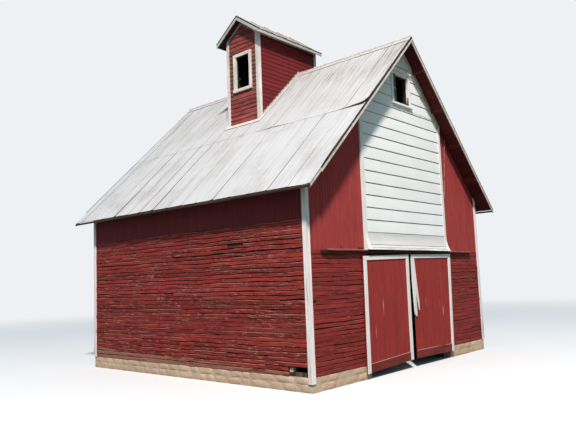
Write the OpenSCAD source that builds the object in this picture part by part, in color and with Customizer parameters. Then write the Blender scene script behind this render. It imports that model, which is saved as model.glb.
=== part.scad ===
// Red timber barn with a white flared gable panel, two sliding doors and a ridge headhouse.
// Millimetres. X runs across the front, Y from the front to the rear, Z up from the lowest ground.
// The origin is the middle of the plan, at ground level.

/* [Walls] */
// Outside width across the front, over the siding
barn_w = 8530; // [8000:10:9600]
// Outside length along the ridge, over the siding
barn_l = 8530; // [7000:10:11000]
// Height of the side walls from the foundation to the roof surface
wall_h = 4440; // [4000:10:5200]
// Thickness of the outside boards
siding_t = 22; // [16:1:32]
// Depth of the studs, sills and plates
stud_d = 140; // [90:5:180]
// Width of a stud
stud_w = 50; // [38:1:80]
// Largest spacing of the studs
stud_pitch = 760; // [500:10:1200]
// Height of the sill beams and plates
plate_h = 90; // [60:5:140]
// Height of the change from slats to upright boards above the foundation
storey_h = 2720; // [2600:10:2900]

/* [Foundation] */
// Height of the foundation above the lowest ground
foundation_h = 320; // [260:10:500]
// Thickness of the foundation walls
foundation_t = 260; // [200:10:400]

/* [Roof] */
// Slope of the roof in degrees
roof_pitch = 43.9; // [40:0.1:48]
// Reach of the roof past the side walls
eave_reach = 404; // [250:1:500]
// Reach of the roof past the end walls
rake_reach = 470; // [300:1:600]
// Thickness of the metal sheets
sheet_t = 10; // [8:1:14]
// Step down from the upper course of sheets to the lower one
lap_step = 5; // [3:1:6]
// Distance of the lap between the courses from the ridge, along the slope
lap_down = 3352; // [2900:10:4200]
// Cover width of one sheet between ribs
sheet_cover = 601; // [500:1:900]
// Distance of the first rib from the front edge of the roof
rib_inset = 51; // [30:1:200]
// Width of a rib on the sheets
rib_w = 36; // [20:1:60]
// Height of a rib on the sheets
rib_h = 14; // [8:1:25]
// Width of the ridge cap on each slope
ridge_cap_w = 170; // [120:5:260]
// Width of the roll along the middle of the ridge cap
ridge_roll_w = 90; // [60:1:140]
// Height of the roll above the ribs at the ridge
ridge_roll_h = 52; // [30:1:80]
// Thickness of the ridge cap
ridge_cap_t = 6; // [4:1:10]
// Thickness of the roof boards
deck_t = 25; // [18:1:35]
// Depth of the rafters
rafter_d = 140; // [100:5:180]
// Width of a rafter
rafter_w = 50; // [38:1:80]
// Largest spacing of the rafters
rafter_pitch = 760; // [500:10:1200]
// Depth of the eave fascias
fascia_h = 75; // [50:1:110]
// Thickness of the eave fascias and bargeboards
fascia_t = 25; // [18:1:32]
// Depth of the bargeboards square to the slope
barge_d = 65; // [50:1:120]
// Depth of the strips outside the left bargeboards, square to the slope
strip_d = 70; // [50:1:90]
// Thickness of the strips
strip_t = 22; // [12:1:30]
// Slot between the strips and the ends of the sheets
strip_gap = 14; // [6:1:25]
// Length of the strips from the apex, along the slope
strip_l = 5911; // [5000:10:6100]
// Largest level spacing of the packers behind the strips
packer_pitch = 700; // [500:10:900]
// Width of a packer
packer_w = 60; // [40:1:90]
// Width of a lookout under the rake
lookout_w = 50; // [38:1:70]
// Depth of a lookout
lookout_d = 75; // [60:1:110]
// Distance of the first lookout from the ridge, level
lookout_first = 660; // [400:10:900]
// Level spacing of the lookouts
lookout_pitch = 980; // [800:10:1050]
// Number of lookouts on each slope of a rake
lookout_count = 4; // [2:1:4]

/* [Corner boards] */
// Width of a corner board on each face
corner_w = 116; // [80:1:160]
// Thickness of a corner board
corner_t = 22; // [16:1:30]
// Height of the front left corner board's foot above the lowest ground
corner_foot = 190; // [60:10:260]

/* [Gable panel] */
// Half of the white panel's width
panel_half = 2100; // [2060:1:2200]
// Clearance between the track and the hood's lower edge
hood_clear = 20; // [20:1:40]
// Height over which the hood flares out
flare_h = 427; // [300:1:560]
// Distance that the hood flares out
flare_out = 120; // [60:5:160]
// How far the butt of each lapped board stands off the wall
panel_proud = 45; // [40:1:60]
// How much a lapped board tapers towards its upper edge
lap_taper = 18; // [10:1:24]
// Height of a lapped board to the weather
lap_pitch = 309.6; // [200:0.1:400]
// Thickness of the flared boards
hood_t = 22; // [18:1:30]
// Width of the panel's upright edge boards
edge_w = 125; // [90:1:170]
// How far the edge boards stand off the lapped boards' butts
edge_step = 6; // [3:1:20]
// Depth of the frieze boards under the rakes, square to the slope
frieze_d = 125; // [90:5:170]
// How far the lower frieze boards stand off the wall
frieze_proud = 64; // [50:1:80]
// How much further the upper frieze boards stand off
frieze_step = 14; // [8:1:25]
// Level distance from the ridge of the joint between the frieze boards
frieze_joint = 1180; // [800:10:1600]

/* [Gable window] */
// Width of the gable window's opening
gable_win_w = 790; // [600:1:830]
// Height of the gable window's opening
gable_win_h = 810; // [600:1:860]
// Depth of the opening's upper edge below the ridge
gable_win_drop = 978; // [960:1:1100]
// Width of the casing boards at the windows' sides
casing_w = 98; // [80:1:130]
// Height of the gable window's head casing
head_casing_h = 140; // [98:1:160]
// Thickness of the window linings
lining_t = 24; // [16:1:32]
// Depth of the gable window's lining behind the wall's face
lining_depth = 22; // [10:1:160]
// How far the gable window's casing stands off the wall
casing_proud = 70; // [60:1:90]
// How far the sills stand past the casings
sill_out = 26; // [15:1:50]
// Height of the gable window's sill
sill_h = 62; // [35:1:70]
// Height of the apron under the gable window's sill
apron_h = 76; // [50:1:100]

/* [Doorway and track] */
// Half of the doorway's width
door_half = 2040; // [1900:10:2050]
// Height of the doorway above the foundation
door_head = 2580; // [2400:10:2620]
// Length of the track to the left of the middle
track_left = 3800; // [3760:10:3900]
// Length of the track to the right of the middle
track_right = 3600; // [3560:10:3900]
// Depth of the box track off the wall
track_d = 68; // [64:1:76]
// Height of the box track
track_h = 54; // [50:1:60]
// Thickness of the track's steel
track_t = 4; // [3:1:5]
// Width of the slot under the track
track_slot = 18; // [16:1:22]
// Clearance between the track and the doors' top edges
track_clear = 10; // [6:1:14]
// Thickness of the boards that cover the track
cover_t = 20; // [15:1:24]
// How far the track covers stand off the wall
cover_out = 128; // [100:1:150]

/* [Sliding doors] */
// Running clearance between the doors and the wall
door_clear = 12; // [8:1:20]
// Thickness of a door's boards and ledges
leaf_t = 44; // [38:1:50]
// Thickness of the white boards on the doors
trim_t = 22; // [16:1:28]
// Level distance of the gap between the doors from the middle of the front, to the left
gap_x = 105; // [60:1:150]
// Width of the gap between the doors at the top
gap_w = 130; // [120:1:180]
// Height of the doors' inner top corners above the foundation
leaf_top = 2628; // [2600:1:2640]
// Height of the doors at the gap
leaf_h = 2722; // [2600:1:2760]
// How far the left door laps past the doorway at its top
left_lap = 210; // [150:1:230]
// How far the left door's outer edge leans out at the bottom
left_outer_lean = 40; // [0:1:60]
// How far the left door's inner edge leans away from the gap
left_inner_lean = 20; // [0:1:60]
// How far the left door's outer top corner hangs low
left_top_drop = 47; // [0:1:60]
// How far the left door's outer bottom corner hangs low
left_foot_drop = 88; // [0:1:110]
// How far the right door laps past the doorway at its top
right_lap = 165; // [120:1:180]
// How far the right door's outer edge leans in at the bottom
right_outer_lean = 117; // [0:1:140]
// How far the right door's inner edge leans away from the gap
right_inner_lean = 5; // [0:1:60]
// How far the right door's outer top corner stands high
right_top_rise = 26; // [0:1:30]
// How far the right door's outer bottom corner hangs low
right_foot_drop = 30; // [0:1:60]
// Height of the white top rails
rail_h = 100; // [90:1:160]
// Width of the white stiles
stile_w = 125; // [100:1:170]
// Height of the kick boards
kick_h = 210; // [150:1:260]
// Length of what is left of the broken stile
broken_l = 1660; // [1200:10:1900]
// Width of the broken stile at its lower end
broken_w = 110; // [70:1:124]
// Length of the sliver that has split off the broken stile
sliver_l = 1510; // [1100:10:1800]
// Width of the sliver at its lower end
sliver_w = 62; // [30:1:80]
// How far the sliver leans past the stile's width at its lower end
sliver_lean = 108; // [80:1:160]
// Distance of the hangers from the doors' edges
hanger_inset = 400; // [380:10:600]
// Width of a hanger strap
strap_w = 60; // [40:1:80]
// Thickness of a hanger strap
strap_t = 6; // [5:1:8]
// Radius of a hanger wheel
wheel_r = 19; // [16:1:20]
// Width of a hanger wheel
wheel_w = 14; // [10:1:16]
// Gap between a hanger's strap and each wheel
wheel_side_gap = 1; // [0.5:0.5:2]

/* [Headhouse] */
// Level distance of the headhouse's front wall from the ridge
head_front = 1813; // [1500:1:2000]
// Level distance of the headhouse's rear wall from the ridge
head_rear = 896; // [700:1:1300]
// Width of the headhouse along the ridge, over the siding
head_w = 1320; // [1100:1:1500]
// Thickness of the headhouse walls
head_t = 100; // [70:1:120]
// Height of the headhouse walls above the main ridge, at the corners
head_h = 955; // [850:5:1200]
// Slope of the headhouse roof in degrees
head_pitch = 35.6; // [30:0.1:42]
// Reach of the headhouse roof past its side walls
head_eave = 253; // [150:1:320]
// Reach of the headhouse roof past its front wall
head_rake = 234; // [120:1:320]
// Reach of the headhouse roof past its rear wall
head_back = 56; // [54:1:120]
// Depth of the headhouse roof's timbers and boards, square to the slope
head_deck_t = 80; // [60:1:110]
// Thickness of the headhouse roof sheets
head_sheet_t = 12; // [8:1:16]
// Depth of the headhouse eave boards and bargeboards
head_fascia_h = 95; // [70:1:110]
// Thickness of the headhouse eave boards and bargeboards
head_fascia_t = 22; // [16:1:28]
// Width of a headhouse corner board on each face
head_corner_w = 115; // [80:1:150]
// Thickness of the headhouse trim boards
head_trim_t = 20; // [14:1:26]
// Depth of the headhouse frieze boards
head_frieze_h = 80; // [60:1:110]
// Width of the headhouse window's opening
head_win_w = 583; // [450:1:620]
// Height of the headhouse window's opening
head_win_h = 1000; // [800:1:1050]
// Depth of the headhouse window's lower edge below the main ridge
head_win_drop = 655; // [600:1:700]
// How far the headhouse window's casing stands off the wall
head_casing_proud = 34; // [26:1:45]
// Height of the headhouse window's sill
head_sill_h = 95; // [50:1:110]
// Depth of the flashing boards along the headhouse's foot
flashing_h = 95; // [60:1:120]
// Thickness of the flashing boards
flashing_t = 12; // [8:1:18]

/* [Damage] */
// Distance of the rotted gap in the left wall from the front corner
rot_y = 134; // [130:1:300]
// Length of the rotted gap
rot_l = 537; // [200:1:700]
// Height of the rotted gap
rot_h = 256; // [100:1:300]

/* [Hidden] */

red = [0.46, 0.08, 0.09];
white = [0.86, 0.87, 0.84];
stone = [0.62, 0.57, 0.49];
metal = [0.80, 0.80, 0.79];
timber = [0.45, 0.36, 0.27];
iron = [0.22, 0.21, 0.21];

half_w = barn_w / 2;
half_l = barn_l / 2;
// How far a cut runs past the faces it opens.
eps = 1;
storey_z = foundation_h + storey_h;
head_z = foundation_h + door_head;
frame_t = siding_t + stud_d;
eave_x = half_w + eave_reach;
rake_y = half_l + rake_reach;

// Heights on the roof are taken level with the upper course of sheets, and thicknesses are plumb.
ridge_z = foundation_h + wall_h + half_w * tan(roof_pitch);
function roof_z(x) = ridge_z - abs(x) * tan(roof_pitch);
function plumb(t) = t / cos(roof_pitch);
// Clearance between pieces that meet on a slope.
bed = 0.2;
sheet_v = plumb(sheet_t);
rib_v = plumb(rib_h) + bed;
deck_top_v = sheet_v + bed;
deck_v = plumb(deck_t);
under_v = deck_top_v + deck_v;
seat_v = under_v + bed;
function under_z(x) = roof_z(x) - seat_v;
sky_z = 2 * ridge_z;

drip = 10;
deck_x = eave_x - drip - fascia_t;
deck_y = rake_y - drip - fascia_t;
mitre = 0.5;
wheel_gap = 0.3;

// Places count spaced evenly between a and b, no further apart than p.
function spread(a, b, p) = let (n = ceil((b - a) / p)) [for (i = [0:n]) a + (b - a) * i / n];

// Stands a profile of X and Z up and runs it from y0 to y1.
module along_y(y0, y1) translate([0, y1, 0]) rotate([90, 0, 0]) linear_extrude(height = y1 - y0) children();

// Stands a profile of Y and Z up and runs it from x0 to x1.
module along_x(x0, x1) translate([x0, 0, 0]) rotate([90, 0, 90]) linear_extrude(height = x1 - x0) children();

module block(x0, x1, y0, y1, z0, z1) translate([x0, y0, z0]) cube([x1 - x0, y1 - y0, z1 - z0]);

// Profile of a layer of the roof between two distances from the ridge, both counted down from the sheets.
module slope_layer(side, x0, x1, top, bottom)
    polygon([
        [side * x0, roof_z(x0) - top],
        [side * x1, roof_z(x1) - top],
        [side * x1, roof_z(x1) - bottom],
        [side * x0, roof_z(x0) - bottom]
    ]);

// Outline of a piece of an end wall, under the roof boards and lowered by drop.
module under_roof(x0, x1, z0, drop = 0)
    polygon(concat(
        [[x0, z0], [x1, z0], [x1, under_z(x1) - drop]],
        x0 < 0 && x1 > 0 ? [[0, under_z(0) - drop]] : [],
        [[x0, under_z(x0) - drop]]
    ));

// Everything above the seats of the pieces under the roof boards.
module above_roof()
    along_y(-rake_y, rake_y)
        polygon([
            [-eave_x, under_z(eave_x)], [0, under_z(0)], [eave_x, under_z(eave_x)],
            [eave_x, sky_z], [-eave_x, sky_z]
        ]);

// The hole that the headhouse takes out of the main roof.
module headhouse_well() block(-head_front, head_rear, -head_w / 2, head_w / 2, storey_z, sky_z);

// Foundation of stone, open at the doorway.
module foundation_piece(x0, x1, y0, y1) color(stone) block(x0, x1, y0, y1, 0, foundation_h);

module foundation_left() foundation_piece(-half_w, -half_w + foundation_t, -half_l, half_l);
module foundation_right() foundation_piece(half_w - foundation_t, half_w, -half_l, half_l);
module foundation_rear()
    foundation_piece(-half_w + foundation_t, half_w - foundation_t, half_l - foundation_t, half_l);
module foundation_front() {
    foundation_piece(-half_w + foundation_t, -door_half, -half_l, -half_l + foundation_t);
    foundation_piece(door_half, half_w - foundation_t, -half_l, -half_l + foundation_t);
}

skin_half = half_w - siding_t;
frame_half = half_w - frame_t;

// Outside boards of a side wall, up to the roof boards.
module side_skin()
    along_y(-half_l, half_l)
        polygon([
            [skin_half, foundation_h], [half_w, foundation_h],
            [half_w, under_z(half_w)], [skin_half, under_z(skin_half)]
        ]);

// Studs of a side wall between a sill and a plate that is bevelled to the rafters.
module side_frame() {
    y1 = half_l - siding_t;
    plate_v = seat_v + plumb(rafter_d) + bed;
    plate_z = roof_z(skin_half) - plate_v;
    block(frame_half, skin_half, -y1, y1, foundation_h, foundation_h + plate_h);
    along_y(-y1, y1)
        polygon([
            [frame_half, plate_z - plate_h], [skin_half, plate_z - plate_h],
            [skin_half, plate_z], [frame_half, roof_z(frame_half) - plate_v]
        ]);
    for (y = spread(-y1 + stud_w / 2, y1 - stud_w / 2, stud_pitch))
        block(frame_half, skin_half, y - stud_w / 2, y + stud_w / 2, foundation_h, plate_z - plate_h / 2);
}

module wall_right() color(red) {
    side_skin();
    side_frame();
}

// The left wall's boards have rotted away at the foot, by the front corner.
module wall_left() color(red)
    mirror([1, 0, 0]) {
        difference() {
            side_skin();
            block(skin_half - eps, half_w + eps, -half_l + rot_y, -half_l + rot_y + rot_l,
                foundation_h - eps, foundation_h + rot_h);
        }
        side_frame();
    }

// A straight piece of the lower storey in an end wall, at the front.
module lower_wall(x0, x1, skin0, skin1) {
    y0 = -half_l;
    ys = -half_l + siding_t;
    yi = -half_l + frame_t;
    block(skin0, skin1, y0, ys, foundation_h, storey_z);
    block(x0, x1, ys, yi, foundation_h, foundation_h + plate_h);
    block(x0, x1, ys, yi, storey_z - plate_h, storey_z);
    for (x = spread(x0 + stud_w / 2, x1 - stud_w / 2, stud_pitch))
        block(x - stud_w / 2, x + stud_w / 2, ys, yi, foundation_h, storey_z);
}

// A piece of an end wall under the roof, at the front.
module upper_wall(x0, x1, skin0, skin1, z0) {
    ys = -half_l + siding_t;
    yi = -half_l + frame_t;
    along_y(-half_l, ys) under_roof(skin0, skin1, z0);
    intersection() {
        along_y(ys, yi) under_roof(x0, x1, z0);
        union() {
            block(x0, x1, ys, yi, z0, z0 + plate_h);
            for (x = spread(x0 + stud_w / 2, x1 - stud_w / 2, stud_pitch))
                block(x - stud_w / 2, x + stud_w / 2, ys, yi, z0, sky_z);
        }
    }
    difference() {
        along_y(ys, yi) under_roof(x0, x1, z0);
        along_y(ys - eps, yi + eps) under_roof(x0 - eps, x1 + eps, z0 - eps, plumb(plate_h));
    }
}

module wall_rear() color(red) mirror([0, 1, 0]) lower_wall(-frame_half, frame_half, -skin_half, skin_half);
module gable_rear() color(red)
    mirror([0, 1, 0]) upper_wall(-frame_half, frame_half, -skin_half, skin_half, storey_z);
module wall_front_left() color(red) lower_wall(-frame_half, -door_half, -skin_half, -door_half);
module wall_front_right() color(red) lower_wall(door_half, frame_half, door_half, skin_half);
module gable_front_left() color(red)
    upper_wall(-frame_half, -door_half, -skin_half, -door_half, storey_z);
module gable_front_right() color(red)
    upper_wall(door_half, frame_half, door_half, skin_half, storey_z);

gable_win_z1 = ridge_z - gable_win_drop;
gable_win_z0 = gable_win_z1 - gable_win_h;
gable_win_x = gable_win_w / 2;
casing_x = gable_win_x + casing_w;
casing_z0 = gable_win_z0 - sill_h - apron_h;
casing_z1 = gable_win_z1 + head_casing_h;

// Hole for the lining of the gable window.
module gable_window_hole()
    block(-gable_win_x - lining_t, gable_win_x + lining_t, -half_l - casing_proud, -half_l + frame_t + eps,
        gable_win_z0 - lining_t, gable_win_z1 + lining_t);

module gable_front_middle() color(red)
    difference() {
        union() {
            upper_wall(-door_half, door_half, -door_half, door_half, head_z);
            // Studs and rails that frame the window
            difference() {
                block(-gable_win_x - lining_t - stud_w, gable_win_x + lining_t + stud_w,
                    -half_l + siding_t, -half_l + frame_t,
                    gable_win_z0 - lining_t - stud_w, gable_win_z1 + lining_t + stud_w);
                above_roof();
            }
        }
        gable_window_hole();
    }

leaf_top_z = foundation_h + leaf_top;
leaf_foot_z = leaf_top_z - leaf_h;
track_z = leaf_top_z + right_top_rise + track_clear;
track_top_z = track_z + track_h;
track_y = -half_l - track_d / 2;

hood_z = track_top_z + hood_clear;
panel_z = hood_z + flare_h;
edge_proud = panel_proud + edge_step;
panel_x = panel_half - edge_w;
frieze_v = plumb(frieze_d);

// Distance of the hood's face from the straight panel at a height between 0, its foot, and 1.
function flare(t) = flare_out * (1 - t) * (1 - t);
flare_steps = 12;

// Profile of a board that follows the flare, from its face at one distance to another off the wall.
module flared_profile(face, back)
    polygon(concat(
        [for (i = [0:flare_steps])
            let (t = i / flare_steps) [-half_l - face - flare(t), hood_z + flare_h * t]],
        [for (i = [flare_steps:-1:0])
            let (t = i / flare_steps) [-half_l - back - flare(t), hood_z + flare_h * t]]
    ));

module door_hood() color(white)
    along_x(-panel_x, panel_x)
        flared_profile(panel_proud, panel_proud - hood_t);

// White lapped boards: each tapers from its butt to its upper edge.
module gable_panel() color(white) {
    rows = ceil((ridge_z - panel_z) / lap_pitch);
    difference() {
        intersection() {
            along_x(-panel_x, panel_x)
                polygon(concat(
                    [[-half_l, panel_z]],
                    [for (i = [0:rows - 1]) each [
                        [-half_l - panel_proud, panel_z + i * lap_pitch],
                        [-half_l - panel_proud + lap_taper, panel_z + (i + 1) * lap_pitch]
                    ]],
                    [[-half_l, panel_z + rows * lap_pitch]]
                ));
            along_y(-half_l - panel_proud - eps, -half_l)
                under_roof(-panel_x, panel_x, panel_z, frieze_v + bed);
        }
        block(-casing_x, casing_x, -half_l - panel_proud - eps, -half_l + eps, casing_z0, casing_z1);
    }
}

// Upright boards at the panel's edges, with cheeks that close the flare.
module panel_edge_boards() color(white)
    for (side = [-1, 1])
        difference() {
            along_x(side > 0 ? panel_x : -panel_half, side > 0 ? panel_half : -panel_x)
                polygon(concat(
                    [[-half_l, hood_z]],
                    [for (i = [0:flare_steps])
                        let (t = i / flare_steps) [-half_l - edge_proud - flare(t), hood_z + flare_h * t]],
                    [[-half_l - edge_proud, ridge_z], [-half_l, ridge_z]]
                ));
            along_y(-rake_y, 0) slope_layer(side, 0, eave_x, -ridge_z, seat_v + frieze_v + bed);
        }

// Frieze boards along the panel's top, the upper ones standing further off the wall.
module rake_frieze() color(white)
    for (side = [-1, 1]) {
        along_y(-half_l - frieze_proud, -half_l)
            slope_layer(side, frieze_joint, panel_half, seat_v, seat_v + frieze_v);
        along_y(-half_l - frieze_proud - frieze_step, -half_l)
            slope_layer(side, mitre, frieze_joint - mitre, seat_v, seat_v + frieze_v);
    }

// Casing, apron, sill and lining round the gable window.
module gable_window_frame() color(white) {
    face_y = -half_l - casing_proud;
    difference() {
        union() {
            block(-casing_x, casing_x, face_y, -half_l, casing_z0, casing_z1);
            block(-gable_win_x - lining_t, gable_win_x + lining_t, -half_l, -half_l + lining_depth,
                gable_win_z0 - lining_t, gable_win_z1 + lining_t);
            block(-casing_x - sill_out, casing_x + sill_out, face_y - sill_out, face_y,
                gable_win_z0 - sill_h, gable_win_z0);
        }
        block(-gable_win_x, gable_win_x, face_y - sill_out - eps, -half_l + frame_t + eps,
            gable_win_z0, gable_win_z1);
    }
}

// Boards that wrap a corner of the barn, from z0 up to the roof boards.
module corner_board(sx, sy, z0)
    difference() {
        union() {
            block(min(sx * (half_w + corner_t), sx * (half_w + corner_t - corner_w)),
                max(sx * (half_w + corner_t), sx * (half_w + corner_t - corner_w)),
                min(sy * half_l, sy * (half_l + corner_t)), max(sy * half_l, sy * (half_l + corner_t)),
                z0, ridge_z);
            block(min(sx * half_w, sx * (half_w + corner_t)), max(sx * half_w, sx * (half_w + corner_t)),
                min(sy * (half_l + corner_t), sy * (half_l + corner_t - corner_w)),
                max(sy * (half_l + corner_t), sy * (half_l + corner_t - corner_w)),
                z0, ridge_z);
        }
        above_roof();
    }

module corner_boards() color(white) {
    corner_board(-1, -1, corner_foot);
    corner_board(1, -1, foundation_h);
    corner_board(-1, 1, foundation_h);
    corner_board(1, 1, foundation_h);
}

// Box track, open below by a slot, closed at its ends.
module door_track() color(iron)
    difference() {
        block(-track_left, track_right, -half_l - track_d, -half_l, track_z, track_top_z);
        block(-track_left + track_t, track_right - track_t,
            -half_l - track_d + track_t, -half_l - track_t, track_z + track_t, track_top_z - track_t);
        block(-track_left + track_t, track_right - track_t,
            track_y - track_slot / 2, track_y + track_slot / 2, track_z - eps, track_z + track_t + eps);
    }

// Boards over the track on both sides of the panel.
module track_covers() color(red) {
    block(-track_left, -panel_half, -half_l - cover_out, -half_l, track_top_z, track_top_z + cover_t);
    block(panel_half, track_right, -half_l - cover_out, -half_l, track_top_z, track_top_z + cover_t);
}

left_in = -gap_x - gap_w / 2;
right_in = -gap_x + gap_w / 2;
left_out = -door_half - left_lap;
right_out = door_half + right_lap;

// Corners of each door: inner top, outer top, outer bottom, inner bottom.
left_leaf = [
    [left_in, leaf_top_z], [left_out, leaf_top_z - left_top_drop],
    [left_out - left_outer_lean, leaf_foot_z - left_foot_drop], [left_in - left_inner_lean, leaf_foot_z]
];
right_leaf = [
    [right_in, leaf_top_z], [right_out, leaf_top_z + right_top_rise],
    [right_out - right_outer_lean, leaf_foot_z - right_foot_drop], [right_in + right_inner_lean, leaf_foot_z]
];

leaf_back = -half_l - door_clear;
leaf_face = leaf_back - leaf_t;

function between(a, b, t) = a + (b - a) * t;

// A point on a door, by its distance from the inner edge (or, below 0, from the outer edge) and from the top.
function on_leaf(q, across, down) =
    let (
        t = across < 0 ? 1 + across / norm(q[1] - q[0]) : across / norm(q[1] - q[0]),
        f = across < 0 ? 1 + across / norm(q[2] - q[3]) : across / norm(q[2] - q[3])
    )
    between(between(q[0], q[1], t), between(q[3], q[2], f), down / leaf_h);

// Boarded door with its kick board between the stiles.
module leaf(q) {
    kick_in = stile_w + bed;
    along_y(leaf_face, leaf_back) polygon(q);
    along_y(leaf_face - trim_t, leaf_face)
        polygon([
            on_leaf(q, kick_in, leaf_h - kick_h), on_leaf(q, -kick_in, leaf_h - kick_h),
            on_leaf(q, -kick_in, leaf_h), on_leaf(q, kick_in, leaf_h)
        ]);
}

module door_left() color(red) leaf(left_leaf);

// White rail and two stiles, cut from the door's outline.
module door_left_trim() color(white) {
    q = left_leaf;
    along_y(leaf_face - trim_t, leaf_face)
        difference() {
            polygon(q);
            polygon([
                on_leaf(q, stile_w, rail_h), on_leaf(q, -stile_w, rail_h),
                on_leaf(q, -stile_w, 2 * leaf_h), on_leaf(q, stile_w, 2 * leaf_h)
            ]);
        }
}

module door_right() color(red) leaf(right_leaf);

// The right door's inner stile is broken off, and a sliver has split from it and leans over the boards.
module door_right_trim() color(white) {
    q = right_leaf;
    sliver_x = stile_w + sliver_lean;
    end_down = broken_l - broken_w / 4;
    past = [-stile_w, 0];
    along_y(leaf_face - trim_t, leaf_face)
        difference() {
            polygon(q);
            polygon([
                on_leaf(q, -stile_w, rail_h), on_leaf(q, -stile_w, 2 * leaf_h),
                on_leaf(q, 0, 2 * leaf_h) + past, on_leaf(q, 0, end_down) + past,
                on_leaf(q, 0, end_down), on_leaf(q, broken_w / 2, broken_l),
                on_leaf(q, broken_w, broken_l - broken_w / 2), on_leaf(q, broken_w, broken_l / 2),
                on_leaf(q, sliver_x - sliver_w, sliver_l + sliver_w / 2), on_leaf(q, sliver_x, sliver_l),
                on_leaf(q, stile_w, rail_h)
            ]);
        }
}

// Strap, axle and two wheels of one hanger, at x, standing on the leaf with the corners q.
module hanger(x, q) {
    wheel_z = track_z + track_t + wheel_gap + wheel_r;
    difference() {
        block(x - strap_w / 2, x + strap_w / 2, track_y - strap_t / 2, track_y + strap_t / 2,
            leaf_top_z - rail_h, wheel_z + wheel_r / 2);
        along_y(leaf_face, leaf_back) polygon(q);
    }
    translate([x, track_y, wheel_z]) rotate([90, 0, 0]) {
        for (side = [-1, 1])
            translate([0, 0, side * ((strap_t + wheel_w) / 2 + wheel_side_gap)])
                cylinder(r = wheel_r, h = wheel_w, center = true, $fn = 48);
        cylinder(r = wheel_r / 3, h = strap_t + 2 * wheel_w, center = true, $fn = 24);
    }
}

module door_left_hangers() color(iron) {
    hanger(left_in - hanger_inset, left_leaf);
    hanger(left_out + hanger_inset, left_leaf);
}

module door_right_hangers() color(iron) {
    hanger(right_in + hanger_inset, right_leaf);
    hanger(right_out - hanger_inset, right_leaf);
}

// Ribbed sheets in two courses, the upper one lapped over the lower.
module roof_sheets(side) {
    lap_x = lap_down * cos(roof_pitch);
    difference() {
        union() {
            along_y(-rake_y, rake_y) slope_layer(side, 0, lap_x, 0, sheet_v);
            along_y(-rake_y, rake_y) slope_layer(side, lap_x, eave_x, plumb(lap_step), sheet_v);
            for (y = [-rake_y + rib_inset : sheet_cover : rake_y - rib_w / 2])
                along_y(y - rib_w / 2, y + rib_w / 2) {
                    slope_layer(side, 0, lap_x, -plumb(rib_h), sheet_v / 2);
                    slope_layer(side, lap_x, eave_x, -plumb(rib_h - lap_step), sheet_v / 2);
                }
        }
        headhouse_well();
    }
}

module roof_left() color(metal) roof_sheets(-1);
module roof_right() color(metal) roof_sheets(1);

module roof_boards(side)
    difference() {
        along_y(-deck_y, deck_y) slope_layer(side, 0, deck_x, deck_top_v, under_v);
        headhouse_well();
    }

module roof_boards_left() color(red) roof_boards(-1);
module roof_boards_right() color(red) roof_boards(1);

// Folded cap over the ridge, with a roll along its middle, cut off at the headhouse's flashings.
module ridge_cap() color(metal) {
    x = ridge_cap_w * cos(roof_pitch);
    roll_x = ridge_roll_w / 2;
    top_v = rib_v + plumb(ridge_cap_t);
    difference() {
        along_y(-rake_y, rake_y)
            polygon([
                [-x, roof_z(x) + rib_v], [0, ridge_z + rib_v], [x, roof_z(x) + rib_v],
                [x, roof_z(x) + top_v], [roll_x, roof_z(roll_x) + top_v],
                [roll_x / 2, ridge_z + rib_v + ridge_roll_h], [-roll_x / 2, ridge_z + rib_v + ridge_roll_h],
                [-roll_x, roof_z(roll_x) + top_v], [-x, roof_z(x) + top_v]
            ]);
        block(-head_front, head_rear, -flashing_y, flashing_y, storey_z, sky_z);
    }
}

// Rafters from the ridge to the side wall's boards, cut round the headhouse.
module rafter_set(side)
    difference() {
        for (y = spread(-half_l + frame_t + rafter_w / 2, half_l - frame_t - rafter_w / 2, rafter_pitch))
            along_y(y - rafter_w / 2, y + rafter_w / 2)
                slope_layer(side, mitre, skin_half, seat_v, seat_v + plumb(rafter_d));
        headhouse_well();
    }

module rafters_left() color(timber) rafter_set(-1);
module rafters_right() color(timber) rafter_set(1);

module eave_fascias() color(metal) {
    x1 = deck_x + fascia_t;
    foot_z = roof_z(deck_x) - deck_top_v - fascia_h;
    for (side = [-1, 1])
        along_y(-rake_y, rake_y)
            polygon([
                [side * deck_x, roof_z(deck_x) - deck_top_v], [side * x1, roof_z(x1) - deck_top_v],
                [side * x1, foot_z], [side * deck_x, foot_z]
            ]);
}

// Strip that stands off the left rake's sheets on packers, at the front end.
module rake_strip() {
    strip_x = strip_l * cos(roof_pitch);
    strip_v = plumb(strip_d);
    strip_y = rake_y + strip_gap;
    along_y(-strip_y - strip_t, -strip_y) slope_layer(-1, mitre, strip_x, 0, strip_v);
    for (x = spread(packer_w, strip_x - packer_w, packer_pitch))
        along_y(-strip_y, -deck_y - fascia_t)
            slope_layer(-1, x - packer_w / 2, x + packer_w / 2, deck_top_v, strip_v);
}

// Bargeboards on both ends, and the strips outside the left ones.
module bargeboards() color(white) {
    for (side = [-1, 1], end = [-1, 1])
        along_y(min(end * deck_y, end * (deck_y + fascia_t)), max(end * deck_y, end * (deck_y + fascia_t)))
            slope_layer(side, mitre, deck_x, deck_top_v, deck_top_v + plumb(barge_d));
    rake_strip();
    mirror([0, 1, 0]) rake_strip();
}

// Short timbers that carry the roof boards past the end walls.
module lookouts() color(red)
    difference() {
        for (side = [-1, 1], end = [-1, 1], i = [0:lookout_count - 1]) {
            x = lookout_first + i * lookout_pitch;
            along_y(min(end * half_l, end * deck_y), max(end * half_l, end * deck_y))
                slope_layer(side, x - lookout_w / 2, x + lookout_w / 2, seat_v, seat_v + plumb(lookout_d));
        }
        rake_frieze();
    }

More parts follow.
